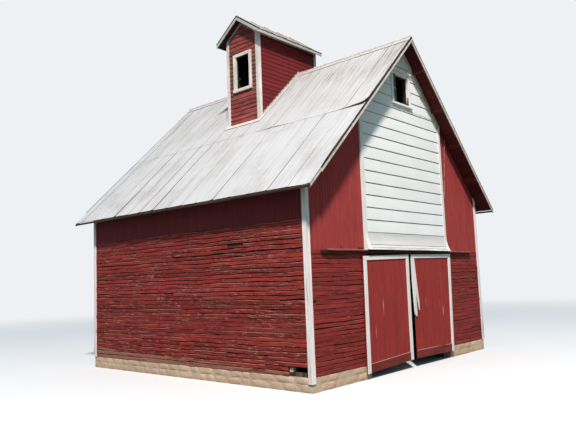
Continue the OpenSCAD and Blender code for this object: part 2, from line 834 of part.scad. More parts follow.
head_half = head_w / 2;
head_eave_z = ridge_z + head_h;
function head_plumb(t) = t / cos(head_pitch);
function head_roof_z(y) = head_eave_z + (head_half - abs(y)) * tan(head_pitch);
head_deck_v = bed + head_plumb(head_deck_t);
head_sheet_v = head_deck_v + bed;
head_trim_half = head_half + head_trim_t;
head_corner_in = head_corner_w - head_trim_t;
flashing_y = head_half + flashing_t;

// Bottom of the headhouse walls, level with the undersides of the rafters.
function head_foot(x) = under_z(x) - plumb(rafter_d);

// Profile of Y and Z along both slopes of the headhouse roof, between two heights over the walls.
module head_slopes(half, low, high)
    polygon([
        [-half, head_roof_z(half) + low], [0, head_roof_z(0) + low], [half, head_roof_z(half) + low],
        [half, head_roof_z(half) + high], [0, head_roof_z(0) + high], [-half, head_roof_z(half) + high]
    ]);

// Everything above the tops of the headhouse walls.
module above_headhouse() {
    half = head_half + head_eave;
    along_x(-head_front - head_rake, head_rear + head_back) head_slopes(half, 0, sky_z);
}

// Outline of a headhouse end wall.
module head_end(half, z0)
    polygon([
        [-half, z0], [half, z0], [half, head_roof_z(half)], [0, head_roof_z(0)], [-half, head_roof_z(half)]
    ]);

head_win_z0 = ridge_z - head_win_drop;
head_win_z1 = head_win_z0 + head_win_h;
head_win_y = head_win_w / 2;

module headhouse_front() color(red)
    difference() {
        along_x(-head_front, -head_front + head_t) head_end(head_half, head_foot(head_front));
        block(-head_front - eps, -head_front + head_t + eps, -head_win_y, head_win_y,
            head_win_z0, head_win_z1);
    }

module headhouse_rear() color(red)
    along_x(head_rear - head_t, head_rear) head_end(head_half, head_foot(head_rear));

module headhouse_sides() color(red) {
    x0 = -head_front + head_t;
    x1 = head_rear - head_t;
    top_z = head_roof_z(head_half - head_t);
    difference() {
        for (side = [-1, 1])
            along_y(side > 0 ? head_half - head_t : -head_half, side > 0 ? head_half : -head_half + head_t)
                polygon([
                    [x0, head_foot(x0)], [0, head_foot(0)], [x1, head_foot(x1)], [x1, top_z], [x0, top_z]
                ]);
        above_headhouse();
    }
}

// Everything below the top of the main roof's ribs, where the headhouse trim stops.
module below_roof()
    along_y(-rake_y, rake_y)
        polygon([
            [-eave_x, roof_z(eave_x) + rib_v], [0, ridge_z + rib_v],
            [eave_x, roof_z(eave_x) + rib_v], [eave_x, 0], [-eave_x, 0]
        ]);

// Two boards that wrap a corner of the headhouse.
module head_corner(x, sx, sy) {
    y = sy * head_half;
    y_out = sy * head_trim_half;
    y_in = y_out - sy * head_corner_w;
    x_out = x + sx * head_trim_t;
    x_in = x_out - sx * head_corner_w;
    top_z = head_roof_z(head_trim_half - head_corner_w);
    block(min(x, x_out), max(x, x_out), min(y_out, y_in), max(y_out, y_in), storey_z, top_z);
    block(min(x_out, x_in), max(x_out, x_in), min(y, y_out), max(y, y_out), storey_z, top_z);
}

module headhouse_corner_boards() color(white)
    difference() {
        for (sy = [-1, 1]) {
            head_corner(-head_front, -1, sy);
            head_corner(head_rear, 1, sy);
        }
        below_roof();
        above_headhouse();
    }

module headhouse_window_frame() color(white) {
    x1 = -head_front;
    x0 = x1 - head_casing_proud;
    y1 = head_win_y + casing_w;
    difference() {
        union() {
            block(x0, x1, -y1, y1, head_win_z0 - head_sill_h, head_win_z1 + casing_w);
            block(x0 - sill_out, x0, -y1, y1, head_win_z0 - head_sill_h, head_win_z0);
        }
        block(x0 - sill_out - eps, x1 + eps, -head_win_y, head_win_y, head_win_z0, head_win_z1);
    }
}

head_roof_x0 = -head_front - head_rake;
head_roof_x1 = head_rear + head_back;
head_roof_half = head_half + head_eave;
head_deck_x0 = head_roof_x0 + drip + head_fascia_t;
head_deck_x1 = head_roof_x1 - drip - head_fascia_t;
head_deck_half = head_roof_half - drip - head_fascia_t;

// Ribbed sheets over both slopes of the headhouse.
module headhouse_roof() color(metal) {
    top_v = head_sheet_v + head_plumb(head_sheet_t);
    along_x(head_roof_x0, head_roof_x1) head_slopes(head_roof_half, head_sheet_v, top_v);
    for (x = [head_roof_x0 + rib_inset : sheet_cover : head_roof_x1 - rib_w / 2])
        along_x(x - rib_w / 2, x + rib_w / 2)
            head_slopes(head_roof_half, head_sheet_v, top_v + head_plumb(rib_h));
}

// Timbers and boards under the headhouse sheets, with a closed underside.
module headhouse_roof_boards() color(red)
    along_x(head_deck_x0, head_deck_x1) head_slopes(head_deck_half, bed, head_deck_v);

// Frieze boards under the roof, eave boards and bargeboards round it, flashing boards at the foot.
module headhouse_trim() color(white) {
    fascia_half = head_deck_half + head_fascia_t;
    fascia_top_z = head_roof_z(fascia_half) + head_deck_v;
    side_x0 = -head_front + head_corner_in;
    side_x1 = head_rear - head_corner_in;
    for (side = [-1, 1]) {
        along_x(side_x0, side_x1)
            polygon([
                [side * head_half, head_eave_z - head_frieze_h],
                [side * head_trim_half, head_eave_z - head_frieze_h],
                [side * head_trim_half, head_roof_z(head_trim_half)],
                [side * head_half, head_eave_z]
            ]);
        along_x(head_deck_x0, head_deck_x1)
            polygon([
                [side * head_deck_half, head_roof_z(head_deck_half) + head_deck_v],
                [side * fascia_half, fascia_top_z], [side * fascia_half, fascia_top_z - head_fascia_h],
                [side * head_deck_half, fascia_top_z - head_fascia_h]
            ]);
        along_y(side > 0 ? head_half : -flashing_y, side > 0 ? flashing_y : -head_half)
            polygon([
                [side_x0, roof_z(side_x0) + rib_v], [0, ridge_z + rib_v], [side_x1, roof_z(side_x1) + rib_v],
                [side_x1, roof_z(side_x1) + rib_v + flashing_h], [0, ridge_z + rib_v + flashing_h],
                [side_x0, roof_z(side_x0) + rib_v + flashing_h]
            ]);
    }
    for (x = [head_deck_x0 - head_fascia_t, head_deck_x1])
        along_x(x, x + head_fascia_t)
            head_slopes(fascia_half, head_deck_v - head_plumb(head_fascia_h), head_deck_v);
    for (x = [-head_front - head_trim_t, head_rear])
        along_x(x, x + head_trim_t)
            head_slopes(head_half - head_corner_in, -head_plumb(head_frieze_h), 0);
}

foundation_left();
foundation_right();
foundation_rear();
foundation_front();
wall_left();
wall_right();
wall_rear();
gable_rear();
wall_front_left();
wall_front_right();
gable_front_left();
gable_front_right();
gable_front_middle();
gable_panel();
door_hood();
panel_edge_boards();
rake_frieze();
gable_window_frame();
corner_boards();
door_track();
track_covers();
door_left();
door_left_trim();
door_left_hangers();
door_right();
door_right_trim();
door_right_hangers();
roof_left();
roof_right();
roof_boards_left();
roof_boards_right();
ridge_cap();
rafters_left();
rafters_right();
eave_fascias();
bargeboards();
lookouts();
headhouse_front();
headhouse_rear();
headhouse_sides();
headhouse_corner_boards();
headhouse_window_frame();
headhouse_roof();
headhouse_roof_boards();
headhouse_trim();
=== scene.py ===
import logging
import math
from dataclasses import dataclass
from enum import Enum
from functools import partial
from typing import Callable

import bpy
import numpy as np
from mathutils import Matrix


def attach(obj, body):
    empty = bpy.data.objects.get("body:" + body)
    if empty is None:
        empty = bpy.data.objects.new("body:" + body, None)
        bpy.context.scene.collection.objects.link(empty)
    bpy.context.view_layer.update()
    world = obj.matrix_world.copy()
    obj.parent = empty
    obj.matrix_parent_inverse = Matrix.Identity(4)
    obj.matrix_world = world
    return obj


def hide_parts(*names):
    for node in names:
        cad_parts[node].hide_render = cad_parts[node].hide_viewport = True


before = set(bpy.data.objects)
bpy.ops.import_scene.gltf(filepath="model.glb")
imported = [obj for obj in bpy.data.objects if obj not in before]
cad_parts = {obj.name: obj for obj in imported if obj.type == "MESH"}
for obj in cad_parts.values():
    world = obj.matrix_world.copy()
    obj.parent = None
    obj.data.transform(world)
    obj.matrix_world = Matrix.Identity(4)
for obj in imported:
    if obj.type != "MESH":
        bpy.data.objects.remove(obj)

Array = np.ndarray
Colour = tuple[float, float, float]
Point = tuple[float, float, float]
Pair = tuple[float, float]
Quad = tuple[float, float, float, float]
Socket = bpy.types.NodeSocket
Source = np.random.Generator
log = logging.getLogger("barn")

TURN = 2 * math.pi
SHARP = math.radians(28)  # edges that bend by more than this stay sharp
SHEEN = 0.12  # gloss of old paint, metal and stone
TONE_SHIFT = (37.0, 91.0, 53.0)  # how far a board's tone moves its pattern, in metres


class Grain(Enum):
    """The way a board's grain runs: how often its pattern repeats along X, Y and Z."""

    ACROSS = (0.9, 26.0, 26.0)
    ALONG = (26.0, 0.9, 26.0)
    UPRIGHT = (26.0, 26.0, 0.9)
    SLOPING = (6.0, 26.0, 6.0)
    NONE = (6.0, 6.0, 6.0)


# ---------------- sizes


@dataclass(frozen=True)
class Barn:
    """Sizes of the solids that the dressing follows, in metres."""

    half: float = 4.265
    siding: float = 0.022
    stud: float = 0.14
    stud_w: float = 0.05
    stud_pitch: float = 0.76
    plate: float = 0.09
    base: float = 0.32
    base_t: float = 0.26
    wall_h: float = 4.44
    pitch: float = math.radians(43.9)
    eave: float = 4.669
    rake: float = 4.735
    drip: float = 0.01
    fascia_t: float = 0.025
    sheet_t: float = 0.01
    deck_t: float = 0.025
    rafter_d: float = 0.14
    bed: float = 0.0002
    storey: float = 3.04
    head: float = 2.9
    door_half: float = 2.04
    head_front: float = 1.813
    head_rear: float = 0.896
    head_half: float = 0.66
    head_pitch: float = math.radians(35.6)

    @property
    def tan(self) -> float:
        """Rise of the roof for each metre across."""
        return math.tan(self.pitch)

    @property
    def cos(self) -> float:
        """Metres across for each metre down the slope."""
        return math.cos(self.pitch)

    @property
    def ridge(self) -> float:
        """Height of the ridge, at the top of the sheets."""
        return self.base + self.wall_h + self.half * self.tan

    @property
    def skin_half(self) -> float:
        """Distance from the middle to the inner face of the outside boards."""
        return self.half - self.siding

    @property
    def frame_half(self) -> float:
        """Distance from the middle to the inner face of the studs."""
        return self.skin_half - self.stud

    def plumb(self, thickness: float) -> float:
        """Height of a layer of that thickness, straight down through the slope."""
        return thickness / self.cos

    def roof_z(self, x: Array) -> Array:
        """Height of the sheets over a place x from the middle."""
        return self.ridge - np.abs(x) * self.tan

    def under_z(self, x: Array) -> Array:
        """Height of the underside of the roof boards, less the bed."""
        return self.roof_z(x) - self.plumb(self.sheet_t + self.deck_t) - 2 * self.bed

    def slope(self, side: int, lift: float) -> "Plane":
        """One slope as a place for boards: its run follows the ridge, its rise goes down.

        Args:
            side: -1 for the left slope, 1 for the right.
            lift: How far it lies off the top of the sheets.

        Returns:
            The place.
        """
        cos, sin = self.cos, math.sin(self.pitch)
        origin = (side * lift * sin, 0, self.ridge + lift * cos)
        return Plane(origin, (0, 1, 0), (side * cos, 0, -sin), (side * sin, 0, cos))


BARN = Barn()


# ---------------- surfaces


def stack(*parts: object) -> Array:
    """Numbers that fit each other, as the last axis of one array."""
    return np.stack(np.broadcast_arrays(*parts), axis=-1)


def spread(start: float, end: float, pitch: float) -> Array:
    """Places from start to end, evenly spaced and no further apart than pitch."""
    return np.linspace(start, end, int(math.ceil((end - start) / pitch)) + 1)


def rect(a: float, b: float, low: float, high: float) -> list[Pair]:
    """Corners of a board that lies from a to b and from low to high."""
    return [(a, low), (b, low), (b, high), (a, high)]


def level(height: float) -> Callable[[Array], Array]:
    """Heads of boards that all end at one height."""
    return partial(np.full_like, fill_value=height)


def bell(distance: Array, width: float) -> Array:
    """1 at no distance, falling off as a bell curve of that width."""
    return np.exp(-((distance / width) ** 2))


@dataclass
class Skin:
    """Points, faces, and for each point a board's tone and how worn it is, before they become a mesh."""

    points: Array
    faces: list[Array]
    tone: Array
    wear: Array

    @staticmethod
    def join(parts: list["Skin"]) -> "Skin":
        """Puts several skins into one.

        Args:
            parts: The skins, each with its own numbering.

        Returns:
            One skin with all the points and faces.
        """
        faces: list[Array] = []
        start = 0
        for part in parts:
            faces += [face + start for face in part.faces]
            start += len(part.points)
        kinds = ("points", "tone", "wear")
        points, tone, wear = (np.concatenate([getattr(part, kind) for part in parts]) for kind in kinds)
        return Skin(points, faces, tone, wear)


def lofts(rings: Array, tone: Array | float, wear: Array | float = 0.0) -> Skin:
    """Closed bars, each a section carried through its stations and capped at both ends.

    Neighbouring stations are joined point by point into quads. A bar whose section turns the wrong
    way round its run, by the sign of area vector times run, is turned over so that faces look out.

    Args:
        rings: Points of N bars at S stations with K points a section, N x S x K x 3.
        tone: One number a bar.
        wear: How worn each point is, in a shape that fits N x S x K.

    Returns:
        The bars as one skin.
    """
    n, s, k, _ = rings.shape
    worn = np.broadcast_to(np.asarray(wear, float), (n, s, k))
    data = np.concatenate([rings, worn[..., None]], axis=-1)
    spoke = rings[:, s // 2] - rings[:, s // 2].mean(axis=1, keepdims=True)
    area = np.cross(spoke, np.roll(spoke, -1, axis=1)).sum(axis=1)
    run = rings[:, -1].mean(axis=1) - rings[:, 0].mean(axis=1)
    wrong = (area * run).sum(axis=1) < 0
    data[wrong] = data[wrong][:, :, ::-1]
    at = np.arange(n * s * k).reshape(n, s, k)
    beside = np.roll(at, -1, axis=2)
    quads = np.stack([at[:, :-1], beside[:, :-1], beside[:, 1:], at[:, 1:]], axis=-1).reshape(-1, 4)
    caps = np.concatenate([at[:, 0, ::-1], at[:, -1]]).reshape(-1, k)
    return Skin(data[..., :3].reshape(-1, 3), [quads, caps], np.repeat(tone, s * k), data[..., 3].ravel())


def shell(top: Array, bottom: Array, tone: Array, wear: Array) -> Skin:
    """A closed sheet between an upper and a lower grid of the same size.

    Args:
        top: U x V x 3 points of the upper face.
        bottom: U x V x 3 points of the lower face.
        tone: U x V numbers.
        wear: U x V numbers.

    Returns:
        The sheet with its four edges closed.
    """
    u, v, _ = top.shape
    if np.cross(top[1, 0] - top[0, 0], top[0, 1] - top[0, 0]) @ (top[0, 0] - bottom[0, 0]) < 0:
        top, bottom, tone, wear = top[::-1], bottom[::-1], tone[::-1], wear[::-1]
    at = np.arange(u * v).reshape(u, v)
    low = at + u * v
    face = np.stack([at[:-1, :-1], at[1:, :-1], at[1:, 1:], at[:-1, 1:]], axis=-1).reshape(-1, 4)
    under = np.stack([low[:-1, :-1], low[:-1, 1:], low[1:, 1:], low[1:, :-1]], axis=-1).reshape(-1, 4)
    rim = np.concatenate([at[:, 0], at[-1, 1:], at[-2::-1, -1], at[0, -2:0:-1]])
    edge = np.stack([rim, rim + u * v, np.roll(rim, -1) + u * v, np.roll(rim, -1)], axis=-1)
    points = np.concatenate([top.reshape(-1, 3), bottom.reshape(-1, 3)])
    return Skin(points, [face, under, edge], np.tile(tone.ravel(), 2), np.tile(wear.ravel(), 2))


def ripple(count: int, places: Array, wave: float, rng: Source) -> Array:
    """A smooth random line for each of several boards: the sum of three sines of falling size.

    Args:
        count: Number of boards.
        places: Distances along each board, count x S, in metres.
        wave: Longest wavelength in metres.
        rng: Source of the phases.

    Returns:
        count x S heights between about -1 and 1.
    """
    phase = rng.uniform(0, TURN, (3, count, 1))
    stretch = rng.uniform(0.75, 1.3, (3, count, 1))
    size = np.array([0.55, 0.3, 0.15]).reshape(3, 1, 1)
    number = TURN / wave * np.array([1.0, 2.3, 5.1]).reshape(3, 1, 1)
    return (size * np.sin(number * stretch * places[None] + phase)).sum(axis=0)


@dataclass(frozen=True)
class Plane:
    """A flat place to fix boards on: its origin, two directions in it and the one out of it."""

    origin: Point
    run: Point
    rise: Point
    out: Point

    def at(self, a: Array, b: Array, c: Array) -> Array:
        """Points at a along the run, b along the rise and c out of the plane."""
        return np.array(self.origin) + stack(a, b, c) @ np.array([self.run, self.rise, self.out], float)

    def turned(self) -> "Plane":
        """The same place with run and rise changed over, for upright boards."""
        return Plane(self.origin, self.rise, self.run, self.out)

    def moved(self, out: float) -> "Plane":
        """The same place, moved outwards."""
        return Plane(tuple(np.array(self.origin) + out * np.array(self.out)), self.run, self.rise, self.out)


def facing(x: int, y: int, distance: float) -> Plane:
    """The upright place that looks along X or Y, at that distance from the middle."""
    return Plane((x * distance, y * distance, 0), (abs(y), abs(x), 0), (0, 0, 1), (x, y, 0))


FRONT = facing(0, -1, BARN.half)


@dataclass(frozen=True)
class Plank:
    """Section of a board and how uneven it is."""

    thick: float = 0.022
    chamfer: float = 0.003
    taper: float = 0.0
    back: float = 0.0
    bow: float = 0.0
    sway: float = 0.0
    wave: float = 1.7
    stations: int = 2
    edge: float = 0.0

    def section(self, width: float) -> Array:
        """The board's outline, a rectangle whose two outer edges are cut off.

        Args:
            width: Width of the board.

        Returns:
            For each corner its share of the width, distance out and wear.
        """
        cut = self.chamfer / width
        top = self.thick - self.taper
        fade = min(0.35, 0.01 / width + cut)
        return np.array([
            (0.0, self.back, 0.0), (1.0, self.back, 0.0), (1.0, top - self.chamfer, self.edge),
            (1.0 - cut, top, self.edge), (1.0 - fade, top + self.taper * fade, 0.0),
            (fade * 0.7, self.thick, 0.0), (cut, self.thick, self.edge * 0.5),
            (0.0, self.thick - self.chamfer, 0.0),
        ])


def planks(plane: Plane, corners: Array | list, plank: Plank, rng: Source,
           drift: Callable[[Array, Array], Array] | None = None) -> Skin:
    """Boards between four corners each, laid on a plane.

    A point at the share s along and h across is the bilinear mean of the corners. The run of each
    board bows out of the plane and sways in it by its own ripple, and may follow a drift that all
    boards share.

    Args:
        plane: Where the boards lie.
        corners: N x 4 x 2 places on the plane: start low, end low, end high, start high.
        plank: Section and unevenness.
        rng: Source of the ripples and tones.
        drift: Shift along the rise at a place on the plane.

    Returns:
        All boards as one skin.
    """
    corners = np.asarray(corners, float)
    n = len(corners)
    across = corners[:, 3] - corners[:, 0]
    size = np.linalg.norm(across, axis=1)
    shape = plank.section(float(np.median(size)))
    share = np.linspace(0, 1, plank.stations)
    s, h = share[None, :, None], shape[:, 0][None, None, :]
    c = corners[:, :, None, None, :]
    place = c[:, 0] * ((1 - s) * (1 - h))[..., None] + c[:, 1] * (s * (1 - h))[..., None]
    place = place + c[:, 2] * (s * h)[..., None] + c[:, 3] * ((1 - s) * h)[..., None]
    along = np.linalg.norm(corners[:, 1] - corners[:, 0], axis=1)[:, None] * share[None]
    loose = rng.choice([0.5, 1.0, 1.9], size=(n, 1), p=[0.45, 0.4, 0.15])
    bow = plank.bow * loose * (0.5 + 0.5 * ripple(n, along, plank.wave, rng))
    sway = plank.sway * ripple(n, along, plank.wave, rng)
    place = place + sway[:, :, None, None] * (across / size[:, None])[:, None, None, :]
    if drift is not None:
        middle = place.mean(axis=2, keepdims=True)
        place[..., 1] += drift(middle[..., 0], middle[..., 1])
    out = shape[:, 1][None, None, :] + bow[:, :, None]
    return lofts(plane.at(place[..., 0], place[..., 1], out), rng.uniform(0, 1, n), shape[:, 2][None, None])


def board(plane: Plane, run: Pair, rise: Pair, out: Pair, cut: float = 0.003) -> Skin:
    """A board between three pairs of places, with its front edges eased.

    Args:
        plane: Where it is fixed.
        run: Its ends along the plane's run.
        rise: Its foot and head.
        out: Its back and face.
        cut: Size of the eased edges.

    Returns:
        The board, laid along its longer side.
    """
    rng = np.random.default_rng(int(abs(run[0] * 997 + rise[0] * 131)))
    base = plane.moved(out[0])
    plank = Plank(thick=out[1] - out[0], chamfer=cut, stations=5, edge=0.4)
    if rise[1] - rise[0] > run[1] - run[0]:
        return planks(base.turned(), [rect(*rise, *run)], plank, rng)
    return planks(base, [rect(*run, *rise)], plank, rng)


def boards(plane: Plane, *rows: tuple) -> Skin:
    """Several boards as one skin, each from the numbers that board takes after the plane."""
    return Skin.join([board(plane, *row) for row in rows])


def bars(low: Array | list, high: Array | list, rng: Source) -> Skin:
    """Square timbers from their lowest to their highest corners.

    Args:
        low: N x 3 lowest corners.
        high: N x 3 highest corners.
        rng: Source of the tones.

    Returns:
        The timbers as one skin.
    """
    low, high = np.atleast_2d(low), np.atleast_2d(high)
    pick = np.array([(0, 0), (1, 0), (1, 1), (0, 1)])
    z = np.stack([low[:, 2], high[:, 2]], axis=1)[:, :, None]
    x, y = (np.where(pick[:, i], high[:, i:i + 1], low[:, i:i + 1])[:, None, :] for i in (0, 1))
    return lofts(stack(x, y, z), rng.uniform(0, 1, len(low)))


def tube(path: Array, radius: float, sides: int = 8) -> Skin:
    """A round rod: a ring of points carried along a path, square to its run at each station.

    Args:
        path: S x 3 points.
        radius: Radius of the rod.
        sides: Points a ring.

    Returns:
        The rod as a closed bar.
    """
    run = np.gradient(path, axis=0)
    run = run / np.linalg.norm(run, axis=1)[:, None]
    side = np.cross(run, (0.0, 1.0, 0.0))
    side = side / np.linalg.norm(side, axis=1)[:, None]
    angle = np.linspace(0, TURN, sides, endpoint=False)[None, :, None]
    spokes = np.cos(angle) * side[:, None] + np.sin(angle) * np.cross(side, run)[:, None]
    return lofts((path[:, None] + radius * spokes)[None], 0.5, 0.6)


def put(name: str, skin: Skin, finish: "Finish", *nodes: str, body: str = "barn", slot: str = "") -> None:
    """Makes a skin an object, gives it its finish and sets it on its body.

    Args:
        name: The piece's name.
        skin: Its points and faces.
        finish: Its surface.
        nodes: CAD nodes that it stands for.
        body: The body that it rides on.
        slot: The record's material slot, where it isn't the finish's own; it is not used.
    """
    mesh = bpy.data.meshes.new(name)
    loops = np.concatenate([face.ravel() for face in skin.faces]).astype(np.int32)
    totals = np.concatenate([np.full(len(face), face.shape[1]) for face in skin.faces]).astype(np.int32)
    mesh.vertices.add(len(skin.points))
    mesh.vertices.foreach_set("co", skin.points.astype(np.float32).ravel())
    mesh.loops.add(len(loops))
    mesh.loops.foreach_set("vertex_index", loops)
    mesh.polygons.add(len(totals))
    mesh.polygons.foreach_set("loop_start", (np.cumsum(totals) - totals).astype(np.int32))
    mesh.update(calc_edges=True)
    mesh.validate()
    mesh.set_sharp_from_angle(angle=SHARP)
    for key, values in (("tone", skin.tone), ("wear", skin.wear)):
        mesh.attributes.new(key, "FLOAT", "POINT").data.foreach_set("value", values.astype(np.float32))
    piece = bpy.data.objects.new(name, mesh)
    bpy.context.scene.collection.objects.link(piece)
    mesh.materials.append(finish.material())
    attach(piece, body)
    slot or finish.slot
    if nodes:
        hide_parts(*nodes)
    log.info("%s: %d faces", name, len(totals))


# ---------------- finishes


class Wiring:
    """Wires the nodes of one material."""

    def __init__(self, tree: bpy.types.NodeTree) -> None:
        """Starts with an empty tree."""
        self.tree = tree
        self.tree.nodes.clear()

    def add(self, kind: str, inputs: dict | None = None, **options: object) -> bpy.types.Node:
        """Adds a node and sets or links its inputs.

        Args:
            kind: Blender's name of the node, less its first word.
            inputs: Values or outputs for its sockets.
            options: Settings of the node.

        Returns:
            The node.
        """
        node = self.tree.nodes.new("ShaderNode" + kind)
        for key, value in options.items():
            setattr(node, key, value)
        for key, value in (inputs or {}).items():
            socket = node.inputs[key]
            if isinstance(value, Socket):
                self.tree.links.new(value, socket)
            else:
                socket.default_value = (*value, 1.0) if socket.type == "RGBA" else value
        return node

    def coord(self) -> Socket:
        """Places in metres from the barn's own origin."""
        return self.add("TexCoord").outputs["Object"]

    def attribute(self, name: str) -> Socket:
        """A number kept with the mesh."""
        return self.add("Attribute", attribute_name=name).outputs["Fac"]

    def noise(self, place: Socket, scale: float, detail: float, rough: float) -> Socket:
        """Noise between 0 and 1."""
        inputs = {"Vector": place, "Scale": scale, "Detail": detail, "Roughness": rough}
        return self.add("TexNoise", inputs).outputs[0]

    def band(self, value: Socket, low: float, high: float) -> Socket:
        """A smooth step from 0 at low to 1 at high."""
        inputs = {"Value": value, "From Min": low, "From Max": high}
        return self.add("MapRange", inputs, interpolation_type="SMOOTHSTEP").outputs[0]

    def maths(self, kind: str, a: object, b: object = 0.0, c: object = 0.0) -> Socket:
        """One sum on up to three numbers."""
        return self.add("Math", {0: a, 1: b, 2: c}, operation=kind).outputs[0]

    def times(self, a: object, b: object) -> Socket:
        """Two numbers multiplied."""
        return self.maths("MULTIPLY", a, b)

    def scaled(self, value: object, by: object, plus: object) -> Socket:
        """A number times another, plus a third."""
        return self.maths("MULTIPLY_ADD", value, by, plus)

    def vector(self, kind: str, a: object, b: object = (0.0, 0.0, 0.0)) -> Socket:
        """One sum on two places, whose lengths and dot products come out as numbers."""
        outputs = self.add("VectorMath", {0: a, 1: b}, operation=kind).outputs
        return outputs["Value" if kind in ("LENGTH", "DOT_PRODUCT") else "Vector"]

    def mix(self, share: object, a: object, b: object, kind: str = "MIX") -> Socket:
        """Two colours, with that share of the second."""
        return self.add("Mix", {0: share, 6: a, 7: b}, data_type="RGBA", blend_type=kind).outputs[2]

    def split(self, place: Socket, axis: int) -> Socket:
        """One number of a place."""
        return self.add("SeparateXYZ", {0: place}).outputs[axis]

    def normal(self) -> Socket:
        """The way that the face looks."""
        return self.add("NewGeometry").outputs["True Normal"]

    def place(self, stretch: Point, turn: float = 0.0) -> Socket:
        """Places turned about Y and stretched, and shifted by each board's tone so that no two match.

        Args:
            stretch: Repeats along each axis.
            turn: Angle of the turn.

        Returns:
            The places.
        """
        turned = self.add("Mapping", {"Vector": self.coord(), "Rotation": (0, turn, 0)})
        mapped = self.add("Mapping", {"Vector": turned.outputs[0], "Scale": stretch})
        tone = self.attribute("tone")
        tones = self.add("CombineXYZ", {0: tone, 1: tone, 2: tone}).outputs[0]
        return self.vector("ADD", mapped.outputs[0], self.vector("MULTIPLY", tones, TONE_SHIFT))

    def near(self, spot: Point, reach: float, rise: float = 1.0) -> Socket:
        """1 at a spot, falling to 0 at that reach; a rise under 1 draws it out into an upright streak."""
        apart = self.vector("MULTIPLY", self.vector("SUBTRACT", self.coord(), spot), (1.0, 1.0, rise))
        return self.band(self.vector("LENGTH", apart), reach, reach * 0.25)

    def inward(self) -> Socket:
        """1 on faces that look towards the barn's middle, by the sign of normal times place, level."""
        level = self.vector("MULTIPLY", self.coord(), (1.0, 1.0, 0.0))
        return self.maths("LESS_THAN", self.vector("DOT_PRODUCT", level, self.normal()), -0.05)

    def steep(self) -> Socket:
        """1 on upright faces, such as the cut edges of sheets on a slope."""
        return self.maths("LESS_THAN", self.maths("ABSOLUTE", self.split(self.normal(), 2)), 0.3)

    def close(self, colour: object, rough: object, height: object, depth: float) -> None:
        """Closes the material with its shader and bump.

        Args:
            colour: Base colour.
            rough: Roughness.
            height: Relief between 0 and 1.
            depth: Depth of the relief in metres.
        """
        bump = self.add("Bump", {"Height": height, "Distance": depth, "Strength": 1.0}).outputs[0]
        inputs = {"Base Color": colour, "Roughness": rough, "Normal": bump, "Specular IOR Level": SHEEN}
        self.add("OutputMaterial", {0: self.add("BsdfPrincipled", inputs).outputs[0]})


@dataclass(frozen=True)
class Finish:
    """A surface that boards or metal may have."""

    name: str
    grain: Grain = Grain.NONE
    slot: str = "red_boards"

    def material(self) -> bpy.types.Material:
        """The finish's material, made once.

        Returns:
            The material.
        """
        found = bpy.data.materials.get(self.name)
        if found is None:
            found = bpy.data.materials.new(self.name)
            found.use_nodes = True
            self.make(Wiring(found.node_tree))
        return found

    def make(self, wiring: Wiring) -> None:
        """Builds the material."""
        raise NotImplementedError

    def dress(self, *nodes: str) -> None:
        """Gives this finish to CAD nodes that stay.

        Args:
            nodes: Their names.
        """
        for node in nodes:
            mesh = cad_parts[node].data
            if not mesh.materials:
                mesh.materials.append(None)
            for slot in range(len(mesh.materials)):
                mesh.materials[slot] = self.material()


